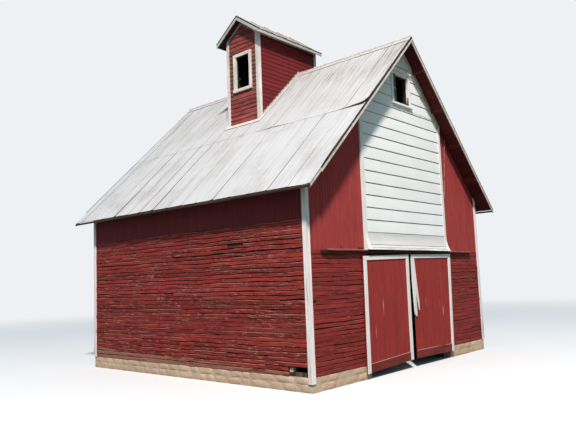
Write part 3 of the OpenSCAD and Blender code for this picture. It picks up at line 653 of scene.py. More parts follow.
@dataclass(frozen=True)
class Paint(Finish):
    """Old paint over boards, worn to bare wood in places."""

    fresh: Colour = (0.27, 0.04, 0.034)
    faded: Colour = (0.2, 0.031, 0.027)
    bare: Colour = (0.27, 0.19, 0.15)
    edge: Colour = (0.4, 0.22, 0.18)
    inside: Colour = (0.12, 0.09, 0.065)
    dark: Colour = (0.05, 0.02, 0.017)
    wear: float = 0.2
    rub: float = 0.49
    foot: float = 0.0
    foot_top: float = 0.95
    bare_top: float = 0.0
    tilt: float = 0.0
    spread: float = 0.14
    lines: float = 0.14
    depth: float = 0.0012
    sooty: float = 0.0
    flecks: float = 0.0
    lining: bool = False
    scuffs_and_shade: tuple[tuple[Point, float], ...] = ()
    rake: tuple[Point, float, float] | None = None
    hollow: tuple[Point, float, float] | None = None

    def grained(self, wiring: Wiring, by: float, plus: float, detail: float, rough: float) -> Socket:
        """Noise drawn out along the grain, whose repeats are multiplied and added to."""
        return wiring.noise(wiring.place(tuple(v * by + plus for v in self.grain.value)), 1.0, detail, rough)

    def bareness(self, wiring: Wiring, patch: Socket) -> Socket:
        """How bare the wood is: patchy noise, pushed up near the foot, whose level may rise along the wall.

        Args:
            wiring: The material's nodes.
            patch: The noise.

        Returns:
            1 where the paint is gone.
        """
        place = wiring.coord()
        level = wiring.scaled(wiring.split(place, 1), -self.tilt, wiring.split(place, 2))
        push = wiring.scaled(wiring.band(level, self.foot_top, 0.3), self.foot, self.wear - 0.5)
        if self.bare_top:
            push = wiring.scaled(wiring.band(level, self.bare_top + 0.03, self.bare_top - 0.03), 0.3, push)
        return wiring.band(wiring.maths("ADD", patch, push), 0.36, 0.5)

    def marked(self, wiring: Wiring, colour: Socket, patch: Socket) -> Socket:
        """Adds scuff marks, painted shade in spots and on the upper edge of gable boards, and the bare inner
        faces.

        The edge is dark where height plus the share across times the slope passes a level. A hollow wall
        is near black, painted shade, wherever the place, measured across it, is inside of its outer face.

        Args:
            wiring: The material's nodes.
            colour: The board's colour.
            patch: Patchy noise.

        Returns:
            The colour with its marks.
        """
        # Scuff marks in the edge colour; on the studs they are near-black spots of painted shade.
        for spot, reach in self.scuffs_and_shade:
            marks = wiring.times(wiring.near(spot, reach, 0.16), wiring.band(patch, 0.34, 0.52))
            colour = wiring.mix(wiring.times(marks, 0.8), colour, self.edge)
        # Painted shade: a dark band along the top edge of the gable boards, under the roof's edge.
        if self.rake:
            across, level, depth = self.rake
            line = wiring.vector("DOT_PRODUCT", wiring.vector("ABSOLUTE", wiring.coord()), across)
            colour = wiring.mix(wiring.band(line, level - depth, level - depth + 0.008), colour, self.dark)
        if self.lining:
            colour = wiring.mix(wiring.inward(), colour, self.inside)
        if self.hollow:
            across, centre, half = self.hollow
            away = wiring.maths("SUBTRACT", wiring.vector("DOT_PRODUCT", wiring.coord(), across), centre)
            inner = wiring.maths("LESS_THAN", wiring.maths("ABSOLUTE", away), half - 0.004)
            colour = wiring.mix(inner, colour, self.inside)
        return colour

    def make(self, wiring: Wiring) -> None:
        """Mottles the colour between fresh and faded, shades each board by its tone and adds worn streaks.

        Args:
            wiring: The material's nodes.
        """
        streak = self.grained(wiring, 1.0, 0.0, 5.0, 0.65)
        patch = self.grained(wiring, 0.35, 0.5, 5.0, 0.7)
        mottle = wiring.noise(wiring.place((0.9, 0.9, 0.9)), 1.3, 3.0, 0.6)
        colour = wiring.mix(wiring.band(mottle, 0.35, 0.68), self.faded, self.fresh)
        shade = wiring.scaled(wiring.attribute("tone"), 2 * self.spread, 1.0 - self.spread)
        lines = wiring.scaled(wiring.band(streak, 0.3, 0.62), self.lines * 1.5, 1.0 - self.lines)
        shade = wiring.times(shade, lines)
        grey = wiring.add("CombineColor", {0: shade, 1: shade, 2: shade}).outputs[0]
        colour = wiring.mix(1.0, colour, grey, "MULTIPLY")
        worn = self.bareness(wiring, patch)
        colour = wiring.mix(worn, colour, self.bare)
        if self.sooty:
            soot = self.grained(wiring, 1.7, 0.0, 4.0, 0.65)
            colour = wiring.mix(wiring.band(soot, 0.64 - self.sooty, 0.74 - self.sooty), colour, self.dark)
        if self.flecks:
            fleck = wiring.band(self.grained(wiring, 1.6, 3.0, 3.0, 0.7), 0.575, 0.65)
            fleck = wiring.times(fleck, self.flecks)
            colour = wiring.mix(wiring.times(fleck, wiring.band(mottle, 0.62, 0.42)), colour, self.edge)
        # Marked edges take the edge colour: worn paint, and on the upper edges of slats, kick boards and
        # covers also a painted highlight.
        worn_and_lit_edges = wiring.times(wiring.attribute("wear"), wiring.band(patch, self.rub - 0.08, self.rub + 0.08))
        colour = self.marked(wiring, wiring.mix(worn_and_lit_edges, colour, self.edge), patch)
        relief = wiring.maths("SUBTRACT", streak, wiring.times(worn, 0.35))
        wiring.close(colour, wiring.scaled(worn, 0.12, 0.74), relief, self.depth)


@dataclass(frozen=True)
class Metal(Finish):
    """Chalky white paint on sheet steel, with painted shade and soiling at the laps and rust that runs down
    the slope.
    """

    slot: str = "roof_metal"
    chalk: Colour = (0.55, 0.55, 0.552)
    dull: Colour = (0.455, 0.45, 0.446)
    lap_shade_and_dirt: Colour = (0.042, 0.036, 0.034)
    scratched: Colour = (0.31, 0.288, 0.268)
    rust: Colour = (0.25, 0.16, 0.108)
    edge_shade: Colour = (0.06, 0.052, 0.048)
    rusting: float = 0.0
    turn: float = 0.0
    dark_edges: bool = False
    spots: tuple[tuple[Point, float], ...] = ()

    def streaks(self, wiring: Wiring, stretch: Point, detail: float, rough: float) -> Socket:
        """Noise drawn out down the slope."""
        return wiring.noise(wiring.place(stretch, self.turn), 1.0, detail, rough)

    def make(self, wiring: Wiring) -> None:
        """Streaks the white down the slope, darkens the laps with painted shade and soiling, and adds brown
        runs near the rusty spots.

        Args:
            wiring: The material's nodes.
        """
        streak = self.streaks(wiring, (0.45, 13.0, 10.0), 7.0, 0.72)
        fine = self.streaks(wiring, (0.9, 19.0, 14.0), 6.0, 0.7)
        scratch = self.streaks(wiring, (0.7, 42.0, 30.0), 5.0, 0.7)
        cloud = wiring.noise(wiring.coord(), 0.9, 5.0, 0.6)
        height = wiring.split(wiring.coord(), 2)
        light = wiring.times(wiring.band(streak, 0.3, 0.58), wiring.band(cloud, 0.3, 0.52))
        colour = wiring.mix(light, self.dull, self.chalk)
        shown = wiring.times(wiring.band(scratch, 0.53, 0.64), wiring.band(cloud, 0.66, 0.4))
        upper = wiring.times(wiring.band(scratch, 0.47, 0.58), wiring.band(height, 6.0, 8.3))
        colour = wiring.mix(wiring.times(wiring.maths("MAXIMUM", shown, upper), 0.8), colour, self.scratched)
        mask = wiring.scaled(wiring.band(height, 6.5, 8.9), 0.03, self.rusting - 0.5)
        for spot, reach in self.spots:
            mask = wiring.scaled(wiring.near(spot, reach), 0.17, mask)
        runs = wiring.band(wiring.maths("ADD", fine, mask), 0.14, 0.34)
        colour = wiring.mix(wiring.times(runs, 0.8), colour, self.rust)
        # Painted shade and soiling: the wear attribute marks the sheets' laps and lower ends, which go near
        # black.
        shaded_and_dirty = wiring.times(wiring.attribute("wear"), wiring.band(fine, 0.25, 0.5))
        colour = wiring.mix(shaded_and_dirty, colour, self.lap_shade_and_dirt)
        # Painted shade: the upright edge faces of the sheets go near black.
        if self.dark_edges:
            colour = wiring.mix(wiring.steep(), colour, self.edge_shade)
        wiring.close(colour, wiring.scaled(runs, 0.25, 0.55), streak, 0.0008)


@dataclass(frozen=True)
class Stone(Finish):
    """Rough tan limestone, each stone with its own tone."""

    slot: str = "stone"
    light: Colour = (0.83, 0.6, 0.43)
    dark: Colour = (0.64, 0.44, 0.31)
    depth: float = 0.008

    def make(self, wiring: Wiring) -> None:
        """Mixes two tans by fine noise and by the stone's tone, over a rough relief.

        Args:
            wiring: The material's nodes.
        """
        fine = wiring.noise(wiring.coord(), 14.0, 8.0, 0.7)
        broad = wiring.noise(wiring.coord(), 2.2, 3.0, 0.6)
        share = wiring.scaled(fine, 0.6, wiring.times(wiring.attribute("tone"), 0.4))
        colour = wiring.mix(wiring.band(share, 0.2, 0.8), self.dark, self.light)
        wiring.close(wiring.mix(wiring.band(broad, 0.66, 0.42), colour, self.dark), 0.92, fine, self.depth)


@dataclass(frozen=True)
class Iron(Finish):
    """Dark steel with rust."""

    slot: str = "iron"
    steel: Colour = (0.036, 0.02, 0.017)
    rust: Colour = (0.08, 0.036, 0.024)

    def make(self, wiring: Wiring) -> None:
        """Breaks the grey with patches of rust.

        Args:
            wiring: The material's nodes.
        """
        patch = wiring.noise(wiring.coord(), 9.0, 6.0, 0.65)
        share = wiring.band(patch, 0.46, 0.62)
        wiring.close(wiring.mix(share, self.steel, self.rust), wiring.scaled(share, 0.1, 0.85), patch, 0.001)


RED_ALONG = Paint(
    "red_slats_along", Grain.ALONG, fresh=(0.308, 0.035, 0.03), faded=(0.23, 0.026, 0.023),
    bare=(0.35, 0.15, 0.108), edge=(0.56, 0.275, 0.21), wear=0.13, rub=0.53, flecks=0.75, foot=0.1,
    foot_top=0.74, bare_top=0.5, tilt=0.024, spread=0.25, lines=0.32, sooty=0.098, depth=0.0025,
    dark=(0.03, 0.012, 0.01), lining=True)
RED_ACROSS = Paint(
    "red_slats_across", Grain.ACROSS, fresh=(0.278, 0.034, 0.03), faded=(0.212, 0.026, 0.022),
    bare=(0.24, 0.11, 0.085), edge=(0.42, 0.185, 0.15), wear=0.12, rub=0.6, flecks=0.36, foot=0.06,
    spread=0.16, lines=0.28, sooty=0.065, depth=0.0025, dark=(0.03, 0.012, 0.01), lining=True)
RED_UPRIGHT = Paint(
    "red_upright_boards", Grain.UPRIGHT, fresh=(0.368, 0.053, 0.05), faded=(0.312, 0.044, 0.042), wear=0.06,
    spread=0.05, lines=0.07, depth=0.0006, lining=True)
# A darker copy of the upright boards' red: painted shade on the side walls under the eaves.
RED_EAVE_SHADE = Paint(
    "red_boards_painted_eave_shade", Grain.UPRIGHT, fresh=(0.19, 0.029, 0.03), faded=(0.15, 0.023, 0.025),
    wear=0.06, spread=0.07, lines=0.1, depth=0.0006, lining=True)
RED_DOORS = Paint(
    "red_door_boards", Grain.UPRIGHT, fresh=(0.342, 0.04, 0.036), faded=(0.285, 0.033, 0.03),
    bare=(0.15, 0.052, 0.043), edge=(0.72, 0.48, 0.42), wear=0.1, foot=0.18, foot_top=0.6, spread=0.07,
    lines=0.1, depth=0.0006, lining=True, scuffs_and_shade=tuple(((x, -4.34, z), reach) for x, z, reach in
    ((0.642, 1.684, 0.034), (1.435, 1.6, 0.03), (1.612, 1.381, 0.04), (1.56, 0.9, 0.024),
    (-1.469, 1.696, 0.036), (-1.475, 1.52, 0.026), (-1.855, 1.073, 0.034), (-0.82, 1.18, 0.024))))
RED_KICK = Paint(
    "red_kick_boards", Grain.ACROSS, fresh=(0.215, 0.034, 0.029), faded=(0.15, 0.027, 0.023),
    bare=(0.12, 0.06, 0.045), edge=(0.52, 0.28, 0.23), rub=0.44, spread=0.05, lines=0.25)
RED_CLAP_FRONT = Paint(
    "red_clapboards_front", Grain.ALONG, fresh=(0.35, 0.072, 0.064), faded=(0.24, 0.05, 0.044),
    bare=(0.24, 0.14, 0.1), edge=(0.14, 0.085, 0.058), wear=0.34, spread=0.26, lines=0.46, sooty=0.12,
    depth=0.002, scuffs_and_shade=tuple(((-1.82, y, z), reach) for y, z, reach in ((0.47, 8.72, 0.13),
    (-0.47, 8.75, 0.13), (0.47, 8.3, 0.11), (-0.47, 8.3, 0.11))))
# A darker copy of the front clapboards' red: painted shade on the headhouse's sides under its eaves.
RED_CLAP_SIDE = Paint(
    "red_clapboards_side", Grain.ACROSS, fresh=(0.178, 0.019, 0.02), faded=(0.138, 0.016, 0.017), wear=0.1,
    spread=0.13, lines=0.22, bare=(0.13, 0.06, 0.05))
# A red far darker than the walls': painted shade on the roof boards under the overhangs.
RED_ROUGH = Paint(
    "red_rough_timber", Grain.SLOPING, fresh=(0.105, 0.015, 0.015), faded=(0.07, 0.011, 0.011),
    bare=(0.07, 0.032, 0.026), wear=0.15)
# Darker than the walls' red: painted shade on the lookouts under the rakes.
RED_LOOKOUTS = Paint(
    "red_lookouts", Grain.ACROSS, fresh=(0.165, 0.028, 0.026), faded=(0.12, 0.021, 0.019),
    bare=(0.11, 0.05, 0.04), wear=0.15)
RED_COVER = Paint(
    "red_cover_boards", Grain.ACROSS, fresh=(0.33, 0.09, 0.075), faded=(0.24, 0.062, 0.052),
    bare=(0.33, 0.21, 0.17), edge=(0.62, 0.4, 0.34), wear=0.26)
# Near black: painted shade, for the sheets behind the slats and the board in the hood's shade.
PAINTED_SHADE = Paint(
    "dark_painted_shade", fresh=(0.016, 0.005, 0.004), faded=(0.01, 0.004, 0.003), bare=(0.03, 0.022, 0.018),
    inside=(0.08, 0.06, 0.045), lining=True)
# Painted shade: dark grey strips in the slots of the panel and the hood.
GREY_LAP_SHADE = Paint(
    "grey_lap_shadows", Grain.ACROSS, "white_boards", fresh=(0.07, 0.076, 0.078),
    faded=(0.045, 0.05, 0.052), bare=(0.05, 0.045, 0.04))
WHITE_CORNER = Paint(
    "white_corner_boards", Grain.UPRIGHT, "white_boards", fresh=(0.98, 0.895, 0.875),
    faded=(0.94, 0.82, 0.8), bare=(0.24, 0.228, 0.21), wear=0.265, foot=0.06, foot_top=3.6, spread=0.03,
    lines=0.2)
WHITE_LAPS = Paint(
    "white_lapped_boards", Grain.ACROSS, "white_boards", fresh=(0.93, 0.93, 0.91),
    faded=(0.885, 0.89, 0.87), bare=(0.6, 0.57, 0.5), edge=(0.7, 0.68, 0.62), wear=0.07, spread=0.025,
    lines=0.025, depth=0.0006)
# Duller than the panel's white: painted shade against the stronger light on the hood's upward face.
WHITE_HOOD = Paint(
    "white_hood_boards", Grain.ACROSS, "white_boards", fresh=(0.73, 0.725, 0.705), faded=(0.68, 0.67, 0.65),
    bare=(0.48, 0.41, 0.33), edge=(0.7, 0.66, 0.58), wear=0.13, bare_top=3.096, spread=0.03, lines=0.05,
    depth=0.0008)
WHITE_TRIM = Paint(
    "white_trim", Grain.UPRIGHT, "white_boards", fresh=(0.905, 0.885, 0.865), faded=(0.845, 0.8, 0.775),
    bare=(0.46, 0.39, 0.33), edge=(0.82, 0.64, 0.59), wear=0.12, foot=0.06, foot_top=3.6, spread=0.03,
    lines=0.05)
WHITE_RAKE = Paint(
    "beige_rake_boards", Grain.SLOPING, "white_boards", fresh=(0.78, 0.71, 0.65), faded=(0.6, 0.52, 0.47),
    bare=(0.21, 0.165, 0.14), spread=0.05, lines=0.22, rake=((BARN.tan, 0.0, 1.0), 8.8638, 0.026),
    dark=(0.026, 0.019, 0.016))
WHITE_HEAD = Paint(
    "cream_headhouse_boards", Grain.UPRIGHT, "white_boards", fresh=(0.83, 0.775, 0.715),
    faded=(0.62, 0.59, 0.55), bare=(0.33, 0.29, 0.25), edge=(0.78, 0.6, 0.54), wear=0.19, spread=0.05)
GREY_TRIM = Paint(
    "grey_headhouse_trim", Grain.ALONG, "white_boards", fresh=(0.54, 0.525, 0.5), faded=(0.39, 0.37, 0.35),
    bare=(0.2, 0.17, 0.145), spread=0.04, lines=0.15, rake=((0.0, math.tan(BARN.head_pitch), 1.0), 10.3904,
    0.026), dark=(0.035, 0.028, 0.025))
# Near black: painted shade on the boards under the headhouse roof.
SOFFIT_SHADE = Paint(
    "dark_soffit_shade", Grain.ALONG, fresh=(0.06, 0.016, 0.014), faded=(0.038, 0.011, 0.01),
    bare=(0.05, 0.03, 0.024), wear=0.15)
# Near black: painted shade on the eave boards under the sheets' edge; the sash piece in the headhouse window
# takes it too.
EAVE_SHADE_GREY = Paint(
    "grey_eave_shade", Grain.ALONG, "roof_metal", fresh=(0.05, 0.036, 0.031), faded=(0.032, 0.023, 0.02),
    bare=(0.024, 0.018, 0.016), lines=0.2)
SASH = Paint(
    "grey_sash_remains", Grain.UPRIGHT, "white_boards", fresh=(0.075, 0.078, 0.085),
    faded=(0.05, 0.052, 0.058), bare=(0.04, 0.034, 0.03))
TIMBER = Paint(
    "bare_timber", Grain.SLOPING, fresh=(0.2, 0.15, 0.105), faded=(0.15, 0.11, 0.078),
    bare=(0.12, 0.09, 0.07))
# The two near-black spots are painted shade on the studs seen through the rotted gap and the gable window.
STUDS = Paint(
    "bare_studs", Grain.UPRIGHT, "timber", fresh=(0.2, 0.15, 0.105), faded=(0.15, 0.11, 0.078),
    bare=(0.12, 0.09, 0.07), edge=(0.012, 0.009, 0.008), scuffs_and_shade=(((-4.2, -3.87, 0.37), 1.2),
    ((0.42, -4.15, 7.45), 0.9)))
# Their inner faces are near black: painted shade inside the headhouse.
HEAD_FRONT = Paint(
    "headhouse_end_walls", Grain.ALONG, inside=(0.03, 0.022, 0.017), hollow=((1.0, 0.0, 0.0),
    (BARN.head_rear - BARN.head_front) / 2, (BARN.head_rear + BARN.head_front) / 2))
HEAD_SIDE = Paint(
    "headhouse_side_walls", Grain.ACROSS, inside=(0.03, 0.022, 0.017), hollow=((0.0, 1.0, 0.0), 0.0,
    BARN.head_half))
ROOF_LEFT = Metal(
    "roof_sheets_left", turn=BARN.pitch, spots=(((-0.7, -2.72, 8.2), 1.0), ((-1.1, -4.5, 7.8), 1.1),
    ((-3.85, 1.95, 5.16), 0.9), ((-0.25, -1.2, 8.6), 0.6), ((-0.3, -4.5, 8.6), 0.8)))
ROOF_RIGHT = Metal(
    "roof_sheets_right", turn=-BARN.pitch, spots=(((0.7, 1.5, 8.2), 1.0), ((3.8, -2.0, 5.2), 0.9)))
ROOF_TRIM = Metal("ridge_metal", chalk=(0.6, 0.565, 0.545), dull=(0.48, 0.445, 0.43), rusting=0.02)
FLASHING = Metal("flashing_metal", chalk=(0.7, 0.65, 0.61), dull=(0.56, 0.51, 0.47), rusting=0.02)
ROOF_HEAD = Metal(
    "headhouse_sheets", chalk=(0.56, 0.5, 0.46), dull=(0.4, 0.35, 0.32), rusting=0.06, dark_edges=True)
STONE = Stone("limestone")
MORTAR = Stone("mortar", light=(0.76, 0.57, 0.42), dark=(0.6, 0.43, 0.31), depth=0.004)
IRON = Iron("dark_iron")


# ---------------- walls


UPRIGHT = Plank(thick=0.0215, chamfer=0.0035, back=0.003, bow=0.0005, wave=2.0, stations=6)
SHADE_SHEET = Plank(thick=0.0025, chamfer=0.0, back=0.0005, stations=6)


@dataclass
class CribWall:
    """A wall of spaced slats below and close upright boards above.

    The slats lie row over row, cut to lengths between studs, over a dark sheet of painted shade. The rows
    wander together by a drift: the sum of three sines of the place along and the height, which fades out
    at the foot. The uprights stand side by side, and their heads follow the roof.
    """

    name: str
    plane: Plane
    start: float
    end: float
    split: float
    seed: int
    finish: Paint
    nodes: tuple[str, ...]
    tops: Callable[[Array], Array] = BARN.under_z
    pitch: float = 0.102
    slat: float = 0.087
    rot: Point | None = None
    lost: Point | None = None
    seams: tuple[float, ...] = ()
    seamed: float = 0.6
    foot: float = BARN.base
    bow: float = 0.006
    wander: float = 0.006
    uneven: float = 0.004
    over: Paint = RED_UPRIGHT

    def __post_init__(self) -> None:
        """Seeds the wall's own unevenness."""
        self.rng = np.random.default_rng(self.seed)

    def drift(self, along: Array, up: Array) -> Array:
        """How far the rows wander up or down.

        Args:
            along: Places along the wall.
            up: Heights.

        Returns:
            The shift, the sum of three sines, faded out over 0.5 m at the foot and 0.3 m at the top.
        """
        wave = 0.5 * np.sin(2.03 * along + 1.1 * up + self.seed)
        wave = wave + 0.3 * np.sin(4.33 * along + 2.0 * up + 2.1) + 0.2 * np.sin(7.85 * along + 3.7 * up)
        fade = ((up - self.foot) / 0.5).clip(0, 1) * ((self.split - up) / 0.3).clip(0, 1)
        return self.wander * wave * fade

    def cuts(self, low: float) -> Array:
        """Places where the slats of a row meet.

        Args:
            low: Height of the row over the foot.

        Returns:
            Places in order, from the seams that low rows share or from the studs.
        """
        studs = spread(self.start + 0.1, self.end - 0.1, BARN.stud_pitch)[1:-1]
        if self.seams and low < self.seamed:
            seams = np.array(self.seams)
            return np.sort(seams[self.rng.uniform(0, 1, len(seams)) < 0.8])
        count = int(self.rng.integers(0, 3 if len(studs) > 4 else 2))
        return np.sort(self.rng.choice(studs, size=min(count, len(studs)), replace=False))

    def slats(self) -> Skin:
        """All rows of slats, less the rotted gap at the foot and the lost piece.

        Returns:
            The slats.
        """
        rows = int(round((self.split - self.foot) / self.pitch))
        pitch = (self.split - self.foot) / rows
        spans: list[list[Pair]] = []
        for row in range(rows):
            low = self.foot + 0.005 + row * pitch
            ends = np.concatenate([[self.start], self.cuts(row * pitch), [self.end]])
            for a, b in zip(ends[:-1], ends[1:]):
                narrow = float(self.rng.choice([0.0, 0.005, 0.014], p=[0.7, 0.2, 0.1]))
                spans += self.trimmed(a + 0.002, b - 0.002, low, low + self.slat - narrow)
        corners = np.array(spans)
        ragged = self.rng.normal(0, self.uneven, (len(corners), 4))
        corners[:, :, 1] += ragged.clip(-2 * self.uneven, 2 * self.uneven)
        # Their upper edges are marked for the pale edge colour: worn paint and painted highlight.
        plank = Plank(thick=0.02, back=0.003, bow=self.bow, sway=0.005, wave=1.5, stations=26, edge=1.0)
        return planks(self.plane, corners, plank, self.rng, self.drift)

    def trimmed(self, a: float, b: float, low: float, high: float) -> list[list[Pair]]:
        """One slat, or what the gaps leave of it, with ragged ends.

        Args:
            a: Its start.
            b: Its end.
            low: Its lower edge.
            high: Its upper edge.

        Returns:
            Corners of each piece that is left.
        """
        spans = [(a, b)]
        split = bool(self.lost) and low < self.lost[2] < high and a < self.lost[0] and b > self.lost[1]
        if self.rot and high < self.foot + self.rot[2]:
            ends = self.rot[0] + self.rng.uniform(-0.02, 0.03), self.rot[1] + self.rng.uniform(-0.03, 0.02)
            spans = [(a, min(b, ends[0])), (max(a, ends[1]), b)]
        elif split:
            spans = [(a, self.lost[0]), (self.lost[1], b)]
        left = [rect(p, q, low, high) for p, q in spans if q - p > 0.04]
        if split:
            p, q = self.lost[:2]
            left.append([(p, low), (q, low), (q, low + 0.05), (p, low + 0.038)])
        return left

    def shade_sheet(self) -> Skin:
        """A thin dark sheet of painted shade behind the slats, open at the rotted gap.

        Returns:
            The sheet.
        """
        spans = [(self.start, self.end, self.foot)]
        if self.rot:
            a, b, tall = self.rot
            spans = [(self.start, a, self.foot), (a, b, self.foot + tall - 0.05), (b, self.end, self.foot)]
        return planks(self.plane, [rect(p, q, low, self.split) for p, q, low in spans], SHADE_SHEET, self.rng)

    def uprights(self, width: float = 0.098, gap: float = 0.001, plank: Plank = UPRIGHT) -> Skin:
        """Close boards from the split to the roof, each cut to the slope.

        Args:
            width: About how wide each is.
            gap: What is left free at each edge.
            plank: Section and unevenness.

        Returns:
            The boards.
        """
        count = 2 * int(round((self.end - self.start) / width / 2))
        edges = np.linspace(self.start, self.end, count + 1)
        heads = self.tops(edges)
        base = np.full(count, self.split)
        a, b = edges[:-1] + gap, edges[1:] - gap
        ends = ((base, a), (heads[:-1], a), (heads[1:], b), (base, b))
        corners = np.stack([stack(*end) for end in ends], axis=1)
        keep = np.minimum(heads[:-1], heads[1:]) - base > 0.02
        return planks(self.plane.turned(), corners[keep], plank, self.rng)

    def dress(self) -> None:
        """Nails the slats, the dark sheet of painted shade behind them and the uprights on."""
        put(self.name + "_slats", self.slats(), self.finish, *self.nodes)
        # Painted shade: near-black sheets behind the slats and uprights stand for the dark inside.
        put(self.name + "_shade_sheet", Skin.join([self.shade_sheet(), self.uprights(1.2, 0.0, SHADE_SHEET)]), PAINTED_SHADE)
        put(self.name + "_uprights", self.uprights(), self.over)


@dataclass
class SideFrame:
    """Studs, sill and bevelled plate inside a side wall."""

    name: str
    side: int

    def dress(self) -> None:
        """Puts the timbers up, in the places of the solid's own."""
        rng = np.random.default_rng(40 + self.side)
        reach, half, foot = BARN.skin_half, BARN.stud_w / 2, BARN.base + BARN.plate
        x0, x1 = sorted((self.side * BARN.frame_half, self.side * reach))
        drop = BARN.plumb(BARN.sheet_t + BARN.deck_t + BARN.rafter_d) + 3 * BARN.bed
        inner, top = BARN.roof_z(np.array([BARN.frame_half, reach])) - drop
        studs = spread(half - reach, reach - half, BARN.stud_pitch)
        parts = [bars(stack(x0, studs - half, foot), stack(x1, studs + half, top - BARN.plate), rng),
                 bars([x0, -reach, BARN.base], [x1, reach, foot], rng)]
        xs = self.side * np.array([BARN.frame_half, reach, reach, BARN.frame_half])
        zs = np.array([top - BARN.plate, top - BARN.plate, top, inner])
        ring = stack(xs[None, None, :], np.array([-reach, reach])[None, :, None], zs[None, None, :])
        put(self.name, Skin.join(parts + [lofts(ring, 0.4)]), STUDS)


@dataclass
class EndFrame:
    """Studs, sills and plates behind the boards of an end wall."""

    name: str
    x0: float
    x1: float
    base: float
    end: int
    gabled: bool
    top: float = BARN.storey
    gap: Quad | None = None

    def skin(self) -> Skin:
        """Timbers between the boards and the inner face, with heads cut to the roof where it is a gable.

        Returns:
            The timbers.
        """
        rng = np.random.default_rng(len(self.name) + 7)
        wide = BARN.stud_w
        y0, y1 = sorted((self.end * BARN.skin_half, self.end * BARN.frame_half))
        xs = spread(self.x0 + wide / 2, self.x1 - wide / 2, BARN.stud_pitch)
        left, right = xs - wide / 2, xs + wide / 2
        if self.gap:
            left = np.concatenate([left, [self.gap[0] - wide, self.gap[1]]])
            right = np.concatenate([right, [self.gap[0], self.gap[1] + wide]])
        tops = BARN.under_z(stack(left, right)) if self.gabled else np.full((len(left), 2), self.top)
        base = np.full(len(left), self.base)
        if self.gap:
            left, right, tops, base = self.split_studs(left, right, tops, base)
        keep = tops.min(axis=1) - base > 0.05
        left, right, tops, base = left[keep], right[keep], tops[keep], base[keep]
        rise = np.stack([np.repeat(base[:, None], 4, axis=1), tops[:, [0, 1, 1, 0]]], axis=1)
        across = stack(left, right, right, left)[:, None, :]
        rings = stack(across, np.array([y0, y0, y1, y1])[None, None, :], rise)
        parts = [lofts(rings, rng.uniform(0, 1, len(left)))]
        levels = [self.base] if self.gabled else [self.base, self.top - BARN.plate]
        beams = [(self.x0, self.x1, z, BARN.plate) for z in levels]
        if self.gap:
            sills = (self.gap[2] - wide, self.gap[3])
            beams += [(self.gap[0] - wide, self.gap[1] + wide, z, wide) for z in sills]
        parts += [bars([a, y0, z], [b, y1, z + tall], rng) for a, b, z, tall in beams]
        return Skin.join(parts + (self.rafters(y0, y1) if self.gabled else []))

    def split_studs(self, left: Array, right: Array, tops: Array, base: Array) -> tuple[Array, ...]:
        """Cuts the studs that cross the window gap into a lower and an upper length.

        Args:
            left: Left sides.
            right: Right sides.
            tops: Heights of both top corners.
            base: Heights of the feet.

        Returns:
            The same four, with the upper lengths added.
        """
        inside = (left < self.gap[1]) & (right > self.gap[0])
        below = np.where(inside[:, None], self.gap[2] - BARN.stud_w, tops)
        foot = np.full(int(inside.sum()), self.gap[3] + BARN.stud_w)
        both = ((left, left[inside]), (right, right[inside]), (below, tops[inside]), (base, foot))
        return tuple(np.concatenate(pair) for pair in both)

    def rafters(self, y0: float, y1: float) -> list[Skin]:
        """The sloping plates under the roof boards.

        Args:
            y0: Outer side.
            y1: Inner side.

        Returns:
            One plate for each slope that the frame reaches.
        """
        drop = BARN.plumb(BARN.plate)
        found = []
        for a, b in ((self.x0, min(0.0, self.x1)), (max(0.0, self.x0), self.x1)):
            if b - a > 0.01:
                x = np.array([a, b])
                sides = ((y0, drop), (y1, drop), (y1, 0.0), (y0, 0.0))
                ring = np.stack([stack(x, y, BARN.under_z(x) - d) for y, d in sides], axis=1)
                found.append(lofts(ring[None], 0.6))
        return found

    def dress(self) -> None:
        """Puts the frame up."""
        put(self.name, self.skin(), STUDS)


